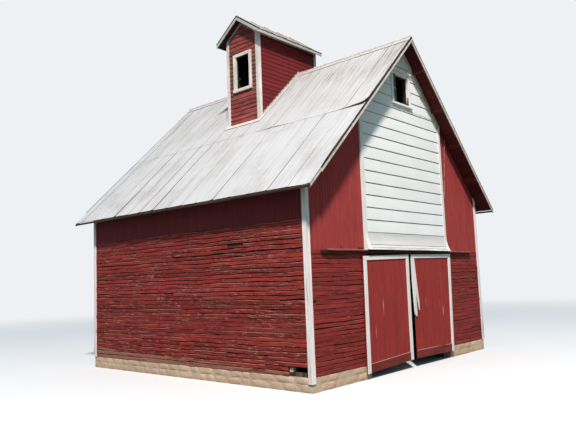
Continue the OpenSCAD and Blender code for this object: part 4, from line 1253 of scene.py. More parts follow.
@dataclass
class Walls:
    """All the walls, and the frames behind them."""

    side_split: float = 3.725
    side_pitch: float = 0.104
    rot: Point = (-BARN.half, -3.594, 0.256)
    lost: Point = (-2.299, -1.741, 3.29)
    broken: Point = (-4.235, -4.03, 1.9)
    seams: tuple[float, ...] = (2.986, 1.86, 0.819, 0.119, -0.427, -1.612, -2.892, -3.41)

    def sides(self) -> list[CribWall]:
        """The left and the right wall, whose upright boards under the eaves take a darker red as painted
        shade.

        Returns:
            Both walls.
        """
        half, split, tops = BARN.half, self.side_split, level(float(BARN.under_z(BARN.half)))
        shared = {"tops": tops, "pitch": self.side_pitch, "bow": 0.008, "over": RED_EAVE_SHADE}
        left, right = (facing(side, 0, BARN.skin_half) for side in (-1, 1))
        return [CribWall("left_wall", left, -half, half, split, 3, RED_ALONG, ("wall_left",), slat=0.085,
                         rot=self.rot, lost=self.lost, seams=self.seams, wander=0.012, **shared),
                CribWall("right_wall", right, -half, half, split, 5, RED_ALONG, ("wall_right",),
                         wander=0.01, **shared)]

    def ends(self) -> list[CribWall]:
        """The rear wall, and the front one on both sides of the doorway.

        Returns:
            The three walls.
        """
        half, door, split = BARN.skin_half, BARN.door_half, BARN.storey
        front = facing(0, -1, half)
        return [CribWall("rear_wall", facing(0, 1, half), -half, half, split, 7, RED_ACROSS,
                         ("wall_rear", "gable_rear"), wander=0.008),
                CribWall("front_left_wall", front, -half, -door, split, 9, RED_ACROSS,
                         ("wall_front_left", "gable_front_left"), slat=0.09, lost=self.broken),
                CribWall("front_right_wall", front, door, half, split, 11, RED_ACROSS,
                         ("wall_front_right", "gable_front_right"), slat=0.09, wander=0.012)]

    def dress(self) -> None:
        """Boards all sides and puts the frames up."""
        for wall in self.sides() + self.ends():
            wall.dress()
        SideFrame("left_wall_frame", -1).dress()
        SideFrame("right_wall_frame", 1).dress()
        inner, door = BARN.frame_half, BARN.door_half
        frames = (("rear_wall_frame", -inner, inner, BARN.base, 1, False),
                  ("rear_gable_frame", -inner, inner, BARN.storey, 1, True),
                  ("front_left_frame", -inner, -door, BARN.base, -1, False),
                  ("front_right_frame", door, inner, BARN.base, -1, False),
                  ("front_left_gable_frame", -inner, -door, BARN.storey, -1, True),
                  ("front_right_gable_frame", door, inner, BARN.storey, -1, True))
        for row in frames:
            EndFrame(*row).dress()


# ---------------- roof


@dataclass
class SheetRoof:
    """Crimped sheets on one slope, laid one by one in two courses over roof boards.

    Each sheet's front edge lies over the sheet before it and stands up a little more towards the eave.
    Round the headhouse they stop at its flashing, and no cut leaves a strip less than the least width.
    """

    side: int
    lap: float = 3.352
    lap_over: float = 0.06
    first: float = -4.684
    cover: float = 0.601
    over: float = 0.024
    base: float = -0.007
    gauge: float = 0.004
    seam_rib: float = 0.0085
    middle_rib: float = 0.0025
    step_s: float = 5.911
    step_y: float = -4.713
    upper_lift: float = 0.0042
    board_w: float = 0.188
    board_gap: float = 0.003
    flash: float = BARN.head_half + 0.001
    clear: float = 0.0015
    least: float = 0.03
    short: float = 0.021
    curls: Pair = (0.05, 0.01)
    eave_z: Pair = (4.318, 4.372)
    eave_out: float = 4.625

    @property
    def name(self) -> str:
        """Which side it is."""
        return "left" if self.side < 0 else "right"

    @property
    def well(self) -> float:
        """How far down the slope the headhouse reaches."""
        return (BARN.head_front if self.side < 0 else BARN.head_rear) / BARN.cos

    def columns(self, low: float, high: float, seam: float) -> Array:
        """Places across a sheet where it is sampled.

        Args:
            low: Its front edge.
            high: Its rear edge.
            seam: Middle of its front seam.

        Returns:
            Places in order, close together at the ribs and far apart between them.
        """
        rib = np.array([-0.018, -0.01, 0.0, 0.01, 0.018, 0.027, 0.036])
        middle = self.cover / 2 + np.array([-0.016, -0.007, 0.0, 0.007, 0.016])
        places = seam + np.concatenate([rib, [0.09, 0.19], middle, [0.42, 0.52], self.cover - rib[::-1]])
        places = places[(places > low + 0.003) & (places < high - 0.003)]
        return np.concatenate([[low, low + 0.002], places, [high]])

    def ribs(self, y: Array) -> Array:
        """Height of the ribs, sums of bell curves: two round ridges at each seam and a low one midway.

        Args:
            y: Places along the ridge.

        Returns:
            The heights.
        """
        gap = (y - self.first + self.cover / 2) % self.cover - self.cover / 2
        middle = (y - self.first) % self.cover - self.cover / 2
        return self.seam_rib * bell(np.abs(gap) - 0.018, 0.0085) + self.middle_rib * bell(middle, 0.01)

    def dents(self, s: Array, y: Array, seed: int) -> Array:
        """Slight waves in the sheets: five crossing sines of random length and phase.

        Args:
            s: Distances down the slope.
            y: Places along the ridge.
            seed: Seed of the sines.

        Returns:
            The heights.
        """
        rng = np.random.default_rng(seed)
        total = np.zeros(np.broadcast(s, y).shape)
        for _ in range(5):
            p, q = rng.uniform(0.6, 3.0), rng.uniform(1.5, 7.0)
            total = total + np.sin(p * s + q * y + rng.uniform(0, 6.3)) * 0.0009
        return total

    def sheet(self, index: int, s0: float, s1: float, y0: float, y1: float, upper: bool) -> Skin:
        """One sheet, or the part of it between two places.

        Its lift is the ribs, the dents, the lap over the sheet before, which fades out over 0.15 m,
        and for the upper course a curl of the lower edge near the front.

        Args:
            index: Number of the sheet from the front.
            s0: Upper end.
            s1: Lower end.
            y0: Front edge.
            y1: Rear edge.
            upper: Whether it belongs to the upper course.

        Returns:
            The sheet, closed.
        """
        rng = np.random.default_rng(100 + index + (50 if upper else 0) + (200 if self.side > 0 else 0))
        seam = self.first + self.cover * index
        edge = seam - self.over
        y = self.columns(y0, y1, seam)[None, :]
        end = s1 + rng.uniform(-0.008, 0.0)
        near_end = [max(s0 + 0.01, min(self.step_s, end - 0.06)), end - 0.045, end - 0.01]
        s = np.sort(np.concatenate([np.linspace(s0, end, 13), near_end]))[:, None]
        loose = rng.choice([0.15, 0.6, 1.5], p=[0.45, 0.3, 0.25])
        shaded_and_dirty = rng.choice([0.2, 0.65, 1.0], p=[0.34, 0.28, 0.38])
        lapped = loose * (0.005 + 0.011 * (s / 6.4) ** 2) * bell(y - edge, 0.09) * (y0 <= edge + 0.001)
        lift = self.base + self.ribs(y) + self.dents(s, y, 60 + self.side) + rng.uniform(0, 0.0015) + lapped
        if upper:
            curl = self.curls[0 if self.side < 0 else 1]
            near = bell(y + BARN.rake, 0.55) + 0.3 * bell(y + 1.75, 0.45)
            lift = lift + self.upper_lift + curl * bell(s - s1, 0.17) * near
        y = y + 0 * s
        if index == 0 and self.side < 0:
            y[:, :2] = np.where(s < self.step_s, self.step_y, -BARN.rake) + [[0.0, 0.002]]
        # The laps and the lower end are marked for the near-black colour: painted shade and soiling.
        wear = bell(y - edge, 0.006) + 0.6 * bell(y - seam - self.cover + 0.028, 0.006)
        wear = shaded_and_dirty * np.maximum(wear, 0.75 * bell(s - end, 0.006))
        plane = BARN.slope(self.side, 0.0)
        tone = np.full(y.shape, rng.uniform(0, 1))
        return shell(plane.at(y, s, lift + self.gauge), plane.at(y, s, lift), tone, wear.clip(0, 1))

    def sheets(self) -> Skin:
        """Both courses, and round the headhouse the sheets cut to its walls.

        Returns:
            The sheets.
        """
        reach, flash, least = (BARN.eave - self.short) / BARN.cos, self.flash, self.least
        count = int((BARN.rake - self.first) / self.cover) + 1
        parts = []
        for index in range(count):
            seam = self.first + self.cover * index
            y0 = -BARN.rake if index == 0 else seam - self.over
            y1 = BARN.rake if index == count - 1 else seam + self.cover + 0.02
            parts.append(self.sheet(index, self.lap - self.lap_over, reach, y0, y1, False))
            cuts = [y0] + [c for c in (-flash, flash) if y0 + least < c < y1 - least] + [y1]
            for a, b in zip(cuts[:-1], cuts[1:]):
                inside = abs((a + b) / 2) < flash
                if inside:
                    a, b = max(a, -flash + self.clear), min(b, flash - self.clear)
                parts.append(self.sheet(index, self.well if inside else 0.004, self.lap, a, b, True))
        return Skin.join(parts)

    def deck(self) -> Skin:
        """Roof boards along the ridge with narrow gaps between them, cut at the headhouse.

        Returns:
            The boards.
        """
        rng = np.random.default_rng(80 + self.side)
        side, well = BARN.head_half, self.well
        end = BARN.rake - BARN.drip - BARN.fascia_t
        reach = (BARN.eave - BARN.drip - BARN.fascia_t - 0.014) / BARN.cos
        edges = spread(0.012, reach - 0.003, self.board_w)
        spans = []
        for low, high in zip(edges[:-1] + self.board_gap, edges[1:] - self.board_gap):
            if low >= well:
                spans.append(rect(-end, end, low, high))
                continue
            if high > well + 0.02:
                spans.append(rect(-side, side, well + 0.001, high))
            spans += [rect(-end, -side, low, high), rect(side, end, low, high)]
        plane = BARN.slope(self.side, -BARN.sheet_t - BARN.deck_t - 2 * BARN.bed)
        return planks(plane, spans, Plank(thick=BARN.deck_t, chamfer=0.0, stations=8), rng)

    def eave_board(self) -> Skin:
        """The worn board along the eave, near black as painted shade under the sheets' edge.

        Returns:
            The board.
        """
        corners = [rect(-BARN.rake, BARN.rake, *self.eave_z)]
        plank = Plank(chamfer=0.004, stations=40, sway=0.002, wave=1.9, edge=0.3)
        rng = np.random.default_rng(85 + self.side)
        return planks(facing(self.side, 0, self.eave_out), corners, plank, rng)

    def dress(self) -> None:
        """Lays the sheets and the boards under them."""
        finish = ROOF_LEFT if self.side < 0 else ROOF_RIGHT
        put(f"roof_sheets_{self.name}", self.sheets(), finish, f"roof_{self.name}")
        put(f"roof_deck_{self.name}", self.deck(), RED_ROUGH, f"roof_boards_{self.name}")


@dataclass
class RidgeCap:
    """Folded cap with a low roll along the ridge, lumpy from age, in lengths that overlap."""

    width: float = 0.17
    roll: float = 0.04
    gauge: float = 0.006
    clear: float = 0.0125

    def length(self, y0: float, y1: float, seed: int) -> Skin:
        """One run of cap: the roof's angle below and a bumpy roll above, swept along the ridge.

        Args:
            y0: Start.
            y1: End.
            seed: Seed of the lumps.

        Returns:
            The cap as a closed bar.
        """
        rng = np.random.default_rng(seed)
        y = np.linspace(y0, y1, 90)
        x, roll = self.width * BARN.cos, self.roll
        rise = BARN.plumb(0.014) + BARN.bed
        foot, shoulder = BARN.roof_z(np.array([x, roll])) + rise
        ridge, shoulder = BARN.ridge + rise, shoulder + 0.007
        half = [(x, foot + self.gauge), (roll, shoulder)]
        half += [(roll * 0.8, ridge + 0.014), (roll * 0.35, ridge + 0.03)]
        shape = np.array([(-x, foot), (0.0, ridge), (x, foot)] + half + [(-a, b) for a, b in half[::-1]])
        lump = 0.003 + 0.005 * ripple(1, y[None] - y0, 1.3, rng)[0]
        weight = np.array([0, 0, 0, 0.2, 0.6, 1, 1, 1, 1, 0.6, 0.2])
        ring = stack(shape[:, 0][None], y[:, None], shape[:, 1][None] + lump[:, None] * weight[None])
        return lofts(ring[None], rng.uniform(0, 1, 1))

    def dress(self) -> None:
        """Lays both runs."""
        end, stop = BARN.rake, BARN.head_half + self.clear
        runs = [self.length(-end, -stop, 91), self.length(stop, end, 92)]
        put("ridge_roll", Skin.join(runs), ROOF_TRIM, "ridge_cap")


# ---------------- white panel


@dataclass
class GablePanel:
    """The white lapped panel over the doors, with its flared foot.

    Every board's face leans out from its head to its butt, over a dark slot. The lowest boards
    follow the flare, whose distance out grows with the square of the depth below its head.
    """

    half: float = 1.975
    hood_z: float = 3.058
    panel_z: float = 3.485
    pitch: float = 0.3096
    proud: float = 0.045
    flare_out: float = 0.12
    flare_t: float = 0.02
    slot: float = 0.013
    slot_back: float = 0.02
    frieze: float = 0.125
    edge: Pair = (2.1005, 2.113)
    edge_top: float = 6.74
    film: Pair = (0.0002, 0.0015)
    window: Point = (0.493, 6.94, 8.026)
    gap: Quad = (-0.419, 0.419, 7.052, 7.91)
    joints: tuple[Pair, Pair] = ((3.16, 3.2), (3.095, 3.13))
    joint_in: float = 0.014
    edge_foot: float = 3.062

    def spans(self, low: float, high: float) -> list[Quad]:
        """Ends of a row at its foot and head: to the panel's sides, the rakes and the window.

        Args:
            low: Height of the row's foot.
            high: Height of the row's head.

        Returns:
            For each board, its left and right end at the foot, then at the head.
        """
        lift = BARN.ridge - BARN.plumb(BARN.sheet_t + BARN.deck_t + self.frieze) + 0.06
        a, b = (min(self.half, (lift - z) / BARN.tan) for z in (low, high))
        side, sill, head = self.window
        beside = high > sill + 0.02 and low < head
        if b <= (side if beside else 0.0) + 0.02:
            return []
        return [(-a, -side, -b, -side), (side, a, side, b)] if beside else [(-a, a, -b, b)]

    def rows(self) -> list[Point]:
        """Foot, slot and head of each row, with rows cut where the window starts and ends.

        Returns:
            The rows from the lowest up.
        """
        top = BARN.ridge - BARN.plumb(0.16)
        found = []
        for z in np.arange(self.panel_z, top, self.pitch):
            cuts = [v for v in self.window[1:] if z + 0.03 < v < z + self.pitch - 0.03]
            for low, high in zip([z] + cuts, cuts + [z + self.pitch]):
                found.append((low, self.slot if low == z else 0.0, min(high, top)))
        return found

    def field(self, low: float, high: float, foot: float, head: float) -> list[list[Pair]]:
        """Corners from foot to head of the boards whose ends are those of a row from low to high."""
        return [[(a, foot), (b, foot), (d, head), (c, head)] for a, b, c, d in self.spans(low, high)]

    def laps(self) -> Skin:
        """The straight lapped boards.

        Returns:
            The boards.
        """
        spans = []
        for foot, slot, head in self.rows():
            spans += self.field(foot + slot, head, foot + slot, head)
        plank = Plank(thick=self.proud, taper=0.016, bow=0.001, sway=0.0016, wave=2.6, stations=24, edge=0.25)
        return planks(FRONT, spans, plank, np.random.default_rng(21))

    def gaps(self) -> Skin:
        """Dark strips of painted shade behind the slots between the boards.

        Returns:
            The strips.
        """
        spans = []
        for foot, slot, _ in self.rows():
            if slot:
                spans += self.field(foot, foot + self.slot_back, foot - 0.006, foot + self.slot_back)
        return planks(FRONT, spans, Plank(thick=0.024, chamfer=0.0), np.random.default_rng(22))

    def flared(self, low: float, high: float, proud: float, seed: int) -> Skin:
        """One board of the flare between two heights.

        Args:
            low: Height of its foot.
            high: Height of its head.
            proud: Distance of its face off the straight panel's line.
            seed: Seed of its unevenness.

        Returns:
            The board, swept along the doorway.
        """
        rng = np.random.default_rng(seed)
        x = np.linspace(-self.half, self.half, 40)
        z = np.linspace(low, high, 9)
        t = ((z - self.hood_z) / (self.panel_z - self.hood_z)).clip(0, 1)
        out = self.proud + self.flare_out * (1 - t) ** 2 + proud
        outline = np.concatenate([stack(out, z), stack(out - self.flare_t, z)[::-1]])
        sag = 0.0014 * ripple(1, x[None], 2.4, rng)[0]
        y = -BARN.half - outline[:, 0][None] - 0.3 * sag[:, None]
        ring = stack(x[:, None], y, outline[:, 1][None] + sag[:, None])
        return lofts(ring[None], rng.uniform(0, 1, 1), [0.8] + [0.0] * 17)

    def hood(self) -> Skin:
        """The three boards of the flare, the lowest one a narrow strip.

        Returns:
            The boards.
        """
        rows = ((3.186, self.panel_z - 0.001, 0.0, 31), (3.116, 3.176, -0.003, 32),
                (self.hood_z, 3.107, -0.001, 34))
        return Skin.join([self.flared(*row) for row in rows])

    def hood_gaps(self) -> list[Skin]:
        """Dark strips: painted shade behind the hood's two joints, and dark strips beside the panel's edge
        boards.

        Returns:
            The four strips.
        """
        near, far = self.edge
        strips = [self.flared(*joint, -self.joint_in, 35 + i) for i, joint in enumerate(self.joints)]
        return strips + [board(FRONT, ends, (self.edge_foot, self.edge_top), self.film, 0.0)
                         for ends in ((-far, -near), (near, far))]

    def wall_behind(self) -> None:
        """The red boards behind the panel, seen from inside and under the hood."""
        left, right, sill, head = self.gap
        door, foot = BARN.door_half, BARN.head
        plane = facing(0, -1, BARN.skin_half)
        fields = ((-door, left, foot, BARN.under_z), (right, door, foot, BARN.under_z),
                  (left, right, foot, level(sill)), (left, right, head, BARN.under_z))
        parts = [CribWall("middle_gable", plane, a, b, low, 13 + i, RED_ACROSS, (), tops).uprights()
                 for i, (a, b, low, tops) in enumerate(fields)]
        put("middle_gable_boards", Skin.join(parts), RED_UPRIGHT, "gable_front_middle")
        EndFrame("middle_gable_frame", -door, door, foot, -1, True, gap=self.gap).dress()

    def dress(self) -> None:
        """Fixes the boards."""
        put("panel_lapped_boards", self.laps(), WHITE_LAPS, "gable_panel")
        put("hood_flared_boards", self.hood(), WHITE_HOOD, "door_hood")
        put("panel_lap_shadows", Skin.join([self.gaps(), Skin.join(self.hood_gaps())]), GREY_LAP_SHADE)
        self.wall_behind()


# ---------------- windows


@dataclass
class GableWindow:
    """The open window in the panel: casings, head, drip cap, sill and apron, and what is left of a sash."""

    half: float = 0.395
    outer: float = 0.493
    reach: float = 0.519
    sill: float = 7.076
    head: float = 7.886
    apron: Pair = (6.938, 7.014)
    drip: Pair = (7.97, 8.026)
    lining_t: float = 0.023
    lining: Pair = (-0.022, 0.0)
    casing: Pair = (0.0, 0.07)
    flat: Pair = (0.0, 0.047)
    sash_y: Pair = (0.035, 0.047)

    def frame(self) -> Skin:
        """Casings with their linings, head board, drip cap, sill, apron and a small block.

        Returns:
            The boards.
        """
        half, outer, reach, light = self.half, self.outer, self.reach, (self.sill, self.head)
        inner, high = half + self.lining_t, (self.sill - self.lining_t, self.head + self.lining_t)
        return boards(
            FRONT, ((-outer, -half), light, self.casing), ((half, outer), light, self.casing),
            ((-inner, -half), high, self.lining, 0.0), ((half, inner), high, self.lining, 0.0),
            ((-half, half), (self.head, high[1]), self.lining, 0.0),
            ((-half, half), (high[0], self.sill), self.lining, 0.0),
            ((-outer, outer), (self.head, self.drip[0]), self.flat),
            ((-reach, reach), self.drip, (0.0, 0.107), 0.008),
            ((-reach, reach), (self.apron[1], self.sill), (0.0, 0.1), 0.008),
            ((-outer, outer), self.apron, self.flat), ((0.022, 0.048), (7.943, 7.97), (0.047, 0.09), 0.004),
            ((-half, -0.294), (7.455, 7.476), (0.056, 0.068), 0.002))

    def sash(self) -> Skin:
        """A stile and a stub of rail on the left, and shards at the right jamb's foot.

        Returns:
            The pieces.
        """
        half, stile = self.half, -0.253
        return boards(
            FRONT, ((-half, stile), (7.13, self.head), (0.035, 0.056)),
            ((stile, -0.232), (7.33, 7.64), (0.035, 0.046), 0.002),
            ((0.29, half), (self.sill, 7.17), self.sash_y, 0.002),
            ((0.345, half), (7.17, 7.33), self.sash_y, 0.002))

    def dress(self) -> None:
        """Sets the window in."""
        put("gable_window_boards", self.frame(), WHITE_TRIM, "gable_window_frame")
        put("gable_window_sash", self.sash(), SASH)


@dataclass
class HeadWindow:
    """The open window of the headhouse: casings, a sill board and a small piece of sash left inside."""

    plane: Plane = facing(-1, 0, BARN.head_front)
    half: float = 0.2915
    casing: float = 0.098
    lining: float = 0.012
    sill: float = 8.209
    head: float = 9.209
    proud: float = 0.034
    depth: float = 0.031
    rest: tuple[Pair, Pair, Pair] = ((0.182, 0.216), (8.505, 8.58), (-0.066, -0.054))

    def frame(self) -> Skin:
        """Four casings with short linings, the sill standing further out over a dark joint.

        Returns:
            The boards.
        """
        half, outer, light = self.half, self.half + self.casing, (self.sill, self.head)
        face, deep = (0.0, self.proud), (-self.depth, self.proud)
        return boards(
            self.plane, ((-outer, -half), light, face), ((half, outer), light, face),
            ((-half, self.lining - half), light, deep, 0.0), ((half - self.lining, half), light, deep, 0.0),
            ((-outer, outer), (self.head + 0.003, self.head + self.casing), face),
            ((-half, half), (self.sill - 0.01, self.sill), deep, 0.0),
            ((-outer, outer), (self.sill - 0.095, self.sill - 0.014), (0.0, 0.06), 0.006))

    def dress(self) -> None:
        """Sets the window in."""
        put("headhouse_window_boards", self.frame(), WHITE_HEAD, "headhouse_window_frame")
        put("headhouse_window_rest", board(self.plane, *self.rest, 0.002), EAVE_SHADE_GREY, slot="white_boards")


# ---------------- doors


# Corners of the door boards: top inner, top outer, foot outer and foot inner.
LEFT_DOOR = ((-0.17, 2.948), (-2.25, 2.901), (-2.29, 0.138), (-0.19, 0.226))
RIGHT_DOOR = ((-0.04, 2.948), (2.205, 2.974), (2.088, 0.196), (-0.035, 0.226))


@dataclass
class Door:
    """A sliding door: close upright boards on the face, a kick board, ledges behind, and white trim."""

    side: str
    corners: tuple[Pair, Pair, Pair, Pair]
    seed: int
    broken: bool = False
    face: float = 4.321
    board_t: float = 0.022
    board_count: int = 20
    stile: float = 0.125
    rail: float = 0.1
    kick: float = 0.21
    kick_t: float = 0.014
    ledges: tuple[float, ...] = (0.05, 0.46, 0.88)
    ledge: float = 0.055
    ledge_t: float = 0.019
    clear: float = 0.0005
    lost: float = 0.034

    @property
    def height(self) -> float:
        """Length of the inner edge."""
        return float(np.linalg.norm(np.subtract(self.corners[3], self.corners[0])))

    @property
    def width(self) -> float:
        """Length of the top."""
        return float(np.linalg.norm(np.subtract(self.corners[1], self.corners[0])))

    @property
    def first(self) -> float:
        """Share across where the boards start, past the strip that the broken door has lost."""
        return self.lost if self.broken else 0.0

    @property
    def front(self) -> Plane:
        """The face of the boards."""
        return facing(0, -1, self.face)

    def spot(self, across: Array, down: Array) -> Array:
        """A place on the door, the bilinear mean of its corners, so that boards follow its lean.

        Args:
            across: Shares from the inner to the outer edge.
            down: Shares from the top to the foot.

        Returns:
            The places.
        """
        q = np.array(self.corners)
        a, d = np.broadcast_arrays(np.asarray(across, float)[..., None], np.asarray(down, float)[..., None])
        return (q[0] * (1 - a) + q[1] * a) * (1 - d) + (q[3] * (1 - a) + q[2] * a) * d

    def field(self, edges: Array | tuple, top: float, foot: float, gap: float = 0.0) -> Array:
        """Corners of upright boards side by side.

        Args:
            edges: Shares across of their edges.
            top: Share down of their heads.
            foot: Share down of their feet.
            gap: Share across left free at each edge.

        Returns:
            N x 4 x 2 places.
        """
        a, b = np.array(edges[:-1]) + gap, np.array(edges[1:]) - gap
        ends = ((a, foot), (a, top), (b, top), (b, foot))
        return np.stack([self.spot(*end) for end in ends], axis=1)

    def kick_board(self) -> Skin:
        """The board across the foot, with a pale upper edge: worn paint and painted highlight.

        Returns:
            The board.
        """
        rim = self.stile / self.width
        spots = rect(self.first or rim, 1 - rim, 1.0, 1 - self.kick / self.height)
        corners = np.stack([self.spot(*spot) for spot in spots])[None]
        plank = Plank(thick=self.kick_t, chamfer=0.005, stations=16, edge=1.0)
        return planks(self.front, corners, plank, np.random.default_rng(self.seed + 9))

    def skin(self) -> Skin:
        """Boards and ledges.

        Returns:
            The boards as one skin.
        """
        rng = np.random.default_rng(self.seed)
        plank = Plank(thick=self.board_t, chamfer=0.0028, bow=0.0004, stations=8)
        edges = np.linspace(self.first, 1, self.board_count + 1)
        parts = [planks(self.front.moved(-self.board_t), self.field(edges, 0.0, 1.0, 0.0004), plank, rng)]
        behind = facing(0, 1, self.board_t - self.face)
        ledge = Plank(thick=self.ledge_t, chamfer=0.002, stations=4)
        parts += [planks(behind, self.field((self.first + 0.02, 0.98), top, top + self.ledge), ledge, rng)
                  for top in self.ledges]
        return Skin.join(parts)

    def trim(self) -> Skin:
        """The white top rail and stiles.

        Returns:
            The trim as one skin.
        """
        rng = np.random.default_rng(self.seed + 5)
        plank = Plank(stations=14, sway=0.0012, edge=0.5)
        rim, low = self.stile / self.width, self.rail / self.height
        rail = np.stack([self.spot(*spot) for spot in rect(0.0, 1.0, low, 0.0)])[None]
        stiles = [self.field((1 - rim, 1.0), low + self.clear, 1.0)]
        if not self.broken:
            stiles.append(self.field((0.0, rim), low + self.clear, 1.0))
        parts = [planks(self.front, corners, plank, rng) for corners in [rail] + stiles]
        return Skin.join(parts + ([self.stub(), self.sliver()] if self.broken else []))

    def strip(self, heights: tuple, left: tuple, right: tuple, spring: float) -> Skin:
        """A strip of board whose edges wander and whose lower end springs off the door.

        Args:
            heights: Heights of its stations, from the top.
            left: Left edge at each station.
            right: Right edge at each station.
            spring: How far the lower end stands off, growing with the square of the way down.

        Returns:
            The strip, closed.
        """
        z = np.linspace(heights[0], heights[-1], 24)
        a, b = (np.interp(-z, -np.array(heights), side) for side in (left, right))
        y = -self.face - spring * ((heights[0] - z) / (heights[0] - heights[-1])) ** 2
        eased, thick = 0.003, self.board_t
        outline = ((a, 0.0), (b, 0.0), (b, thick - eased),
                   (b - eased, thick), (a + eased, thick), (a, thick - eased))
        ring = np.stack([stack(x, y - out, z) for x, out in outline], axis=1)
        return lofts(ring[None], 0.35, [0, 0, 0.6, 0.6, 0.6, 0.6])

    def stub(self) -> Skin:
        """What is left of the broken stile.

        Returns:
            The stub.
        """
        heights = (2.847, 2.22, 2.06, 1.746, 1.5, 1.378, 1.34, 1.299)
        left = (-0.04, -0.045, -0.04, -0.027, -0.019, -0.014, 0.02, 0.064)
        right = (0.117, 0.116, 0.115, 0.103, 0.105, 0.106, 0.092, 0.074)
        return self.strip(heights, left, right, 0.012)

    def sliver(self) -> Skin:
        """The long piece that has split off the stile and leans over the boards.

        Returns:
            The piece.
        """
        heights = (2.847, 2.4, 2.06, 1.737, 1.6, 1.469)
        left = (0.112, 0.112, 0.117, 0.151, 0.172, 0.198)
        right = (0.119, 0.158, 0.189, 0.219, 0.216, 0.208)
        return self.strip(heights, left, right, 0.03)

    def dress(self) -> None:
        """Hangs the door."""
        body = f"{self.side}_door"
        put(f"{body}_boards", self.skin(), RED_DOORS, f"door_{self.side}", body=body)
        put(f"{body}_white_trim", self.trim(), WHITE_TRIM, f"door_{self.side}_trim", body=body)
        put(f"{body}_kick_board", self.kick_board(), RED_KICK, body=body)


@dataclass
class TrackCovers:
    """Worn boards that cover the track beside the panel, with a lip and the ironwork on them."""

    inner: float = 2.101
    left: float = -3.65
    right: float = 3.6
    foot: float = 3.0385
    top: float = 3.058
    reach: float = 0.098
    lip: float = 0.012
    hang: float = 0.014
    shy: float = 0.013
    rod_out: float = 0.036
    rod_r: float = 0.01
    bend: float = 3.072
    bracket: Pair = (-3.052, -3.018)
    bolt: tuple[Pair, Pair, Pair] = ((-3.578, -3.542), (0.94, 0.974), (-0.004, 0.016))
    doorhead_shade: tuple[Pair, Pair, Pair] = ((-2.035, 2.035), (2.905, 3.05), (0.0002, 0.0015))

    def covers(self) -> Skin:
        """Both cover boards and their lips.

        Returns:
            The boards.
        """
        rng = np.random.default_rng(55)
        base = Plane((0, -BARN.half, self.foot), (1, 0, 0), (0, -1, 0), (0, 0, 1))
        # Their front and upper edges take the pale pink edge colour: worn paint and painted highlight.
        flat = Plank(thick=self.top - self.foot, stations=12, edge=0.7)
        lip = Plank(thick=self.lip, chamfer=0.002, stations=30, sway=0.0025, wave=1.2, edge=1.0)
        parts = []
        for a, b in ((self.left, -self.inner), (self.inner, self.right)):
            parts.append(planks(base, [rect(a, b, 0.0, self.reach - self.shy)], flat, rng))
            plane = FRONT.moved(self.reach - self.lip)
            parts.append(planks(plane, [rect(a, b, self.foot - self.hang, self.top)], lip, rng))
        return Skin.join(parts)

    def ironwork(self) -> Skin:
        """A bent bracket and a block on the left cover, and a bolt on the left wall.

        Returns:
            The three pieces.
        """
        bolt = board(facing(-1, 0, BARN.half), *self.bolt, 0.006)
        ends, bend = self.bracket, self.bend
        fixed = boards(FRONT, (ends, (bend, 3.14), (0.0, 0.012)), (ends, (self.top, bend), (0.0, 0.095)),
                       ((-2.36, -2.24), (self.top, 3.108), (0.0, 0.06), 0.006))
        return Skin.join([fixed, bolt])

    def rod(self) -> Skin:
        """A bent rod that leans on the right side of the panel.

        Returns:
            The rod.
        """
        path = ((2.554, 6.474), (2.48, 6.5), (2.406, 6.343), (2.31, 5.7), (2.226, 5.068), (2.18, 4.6))
        x, z = np.array(path).T
        way = np.concatenate([[0.0], np.cumsum(np.hypot(np.diff(x), np.diff(z)))])
        even = np.linspace(0.0, way[-1], 36)
        middle = stack(np.interp(even, way, x), -BARN.half - self.rod_out, np.interp(even, way, z))
        return tube(middle, self.rod_r)

    def dress(self) -> None:
        """Fixes the covers and the iron."""
        put("track_cover_boards", self.covers(), RED_COVER, "track_covers")
        put("track_ironwork", self.ironwork(), IRON)
        # Painted shade: a near-black board on the wall in the hood's shade over the doors.
        put("doorhead_painted_shade", board(FRONT, *self.doorhead_shade, 0.0), PAINTED_SHADE)
        put("leaning_rod", self.rod(), RED_COVER)


# ---------------- headhouse


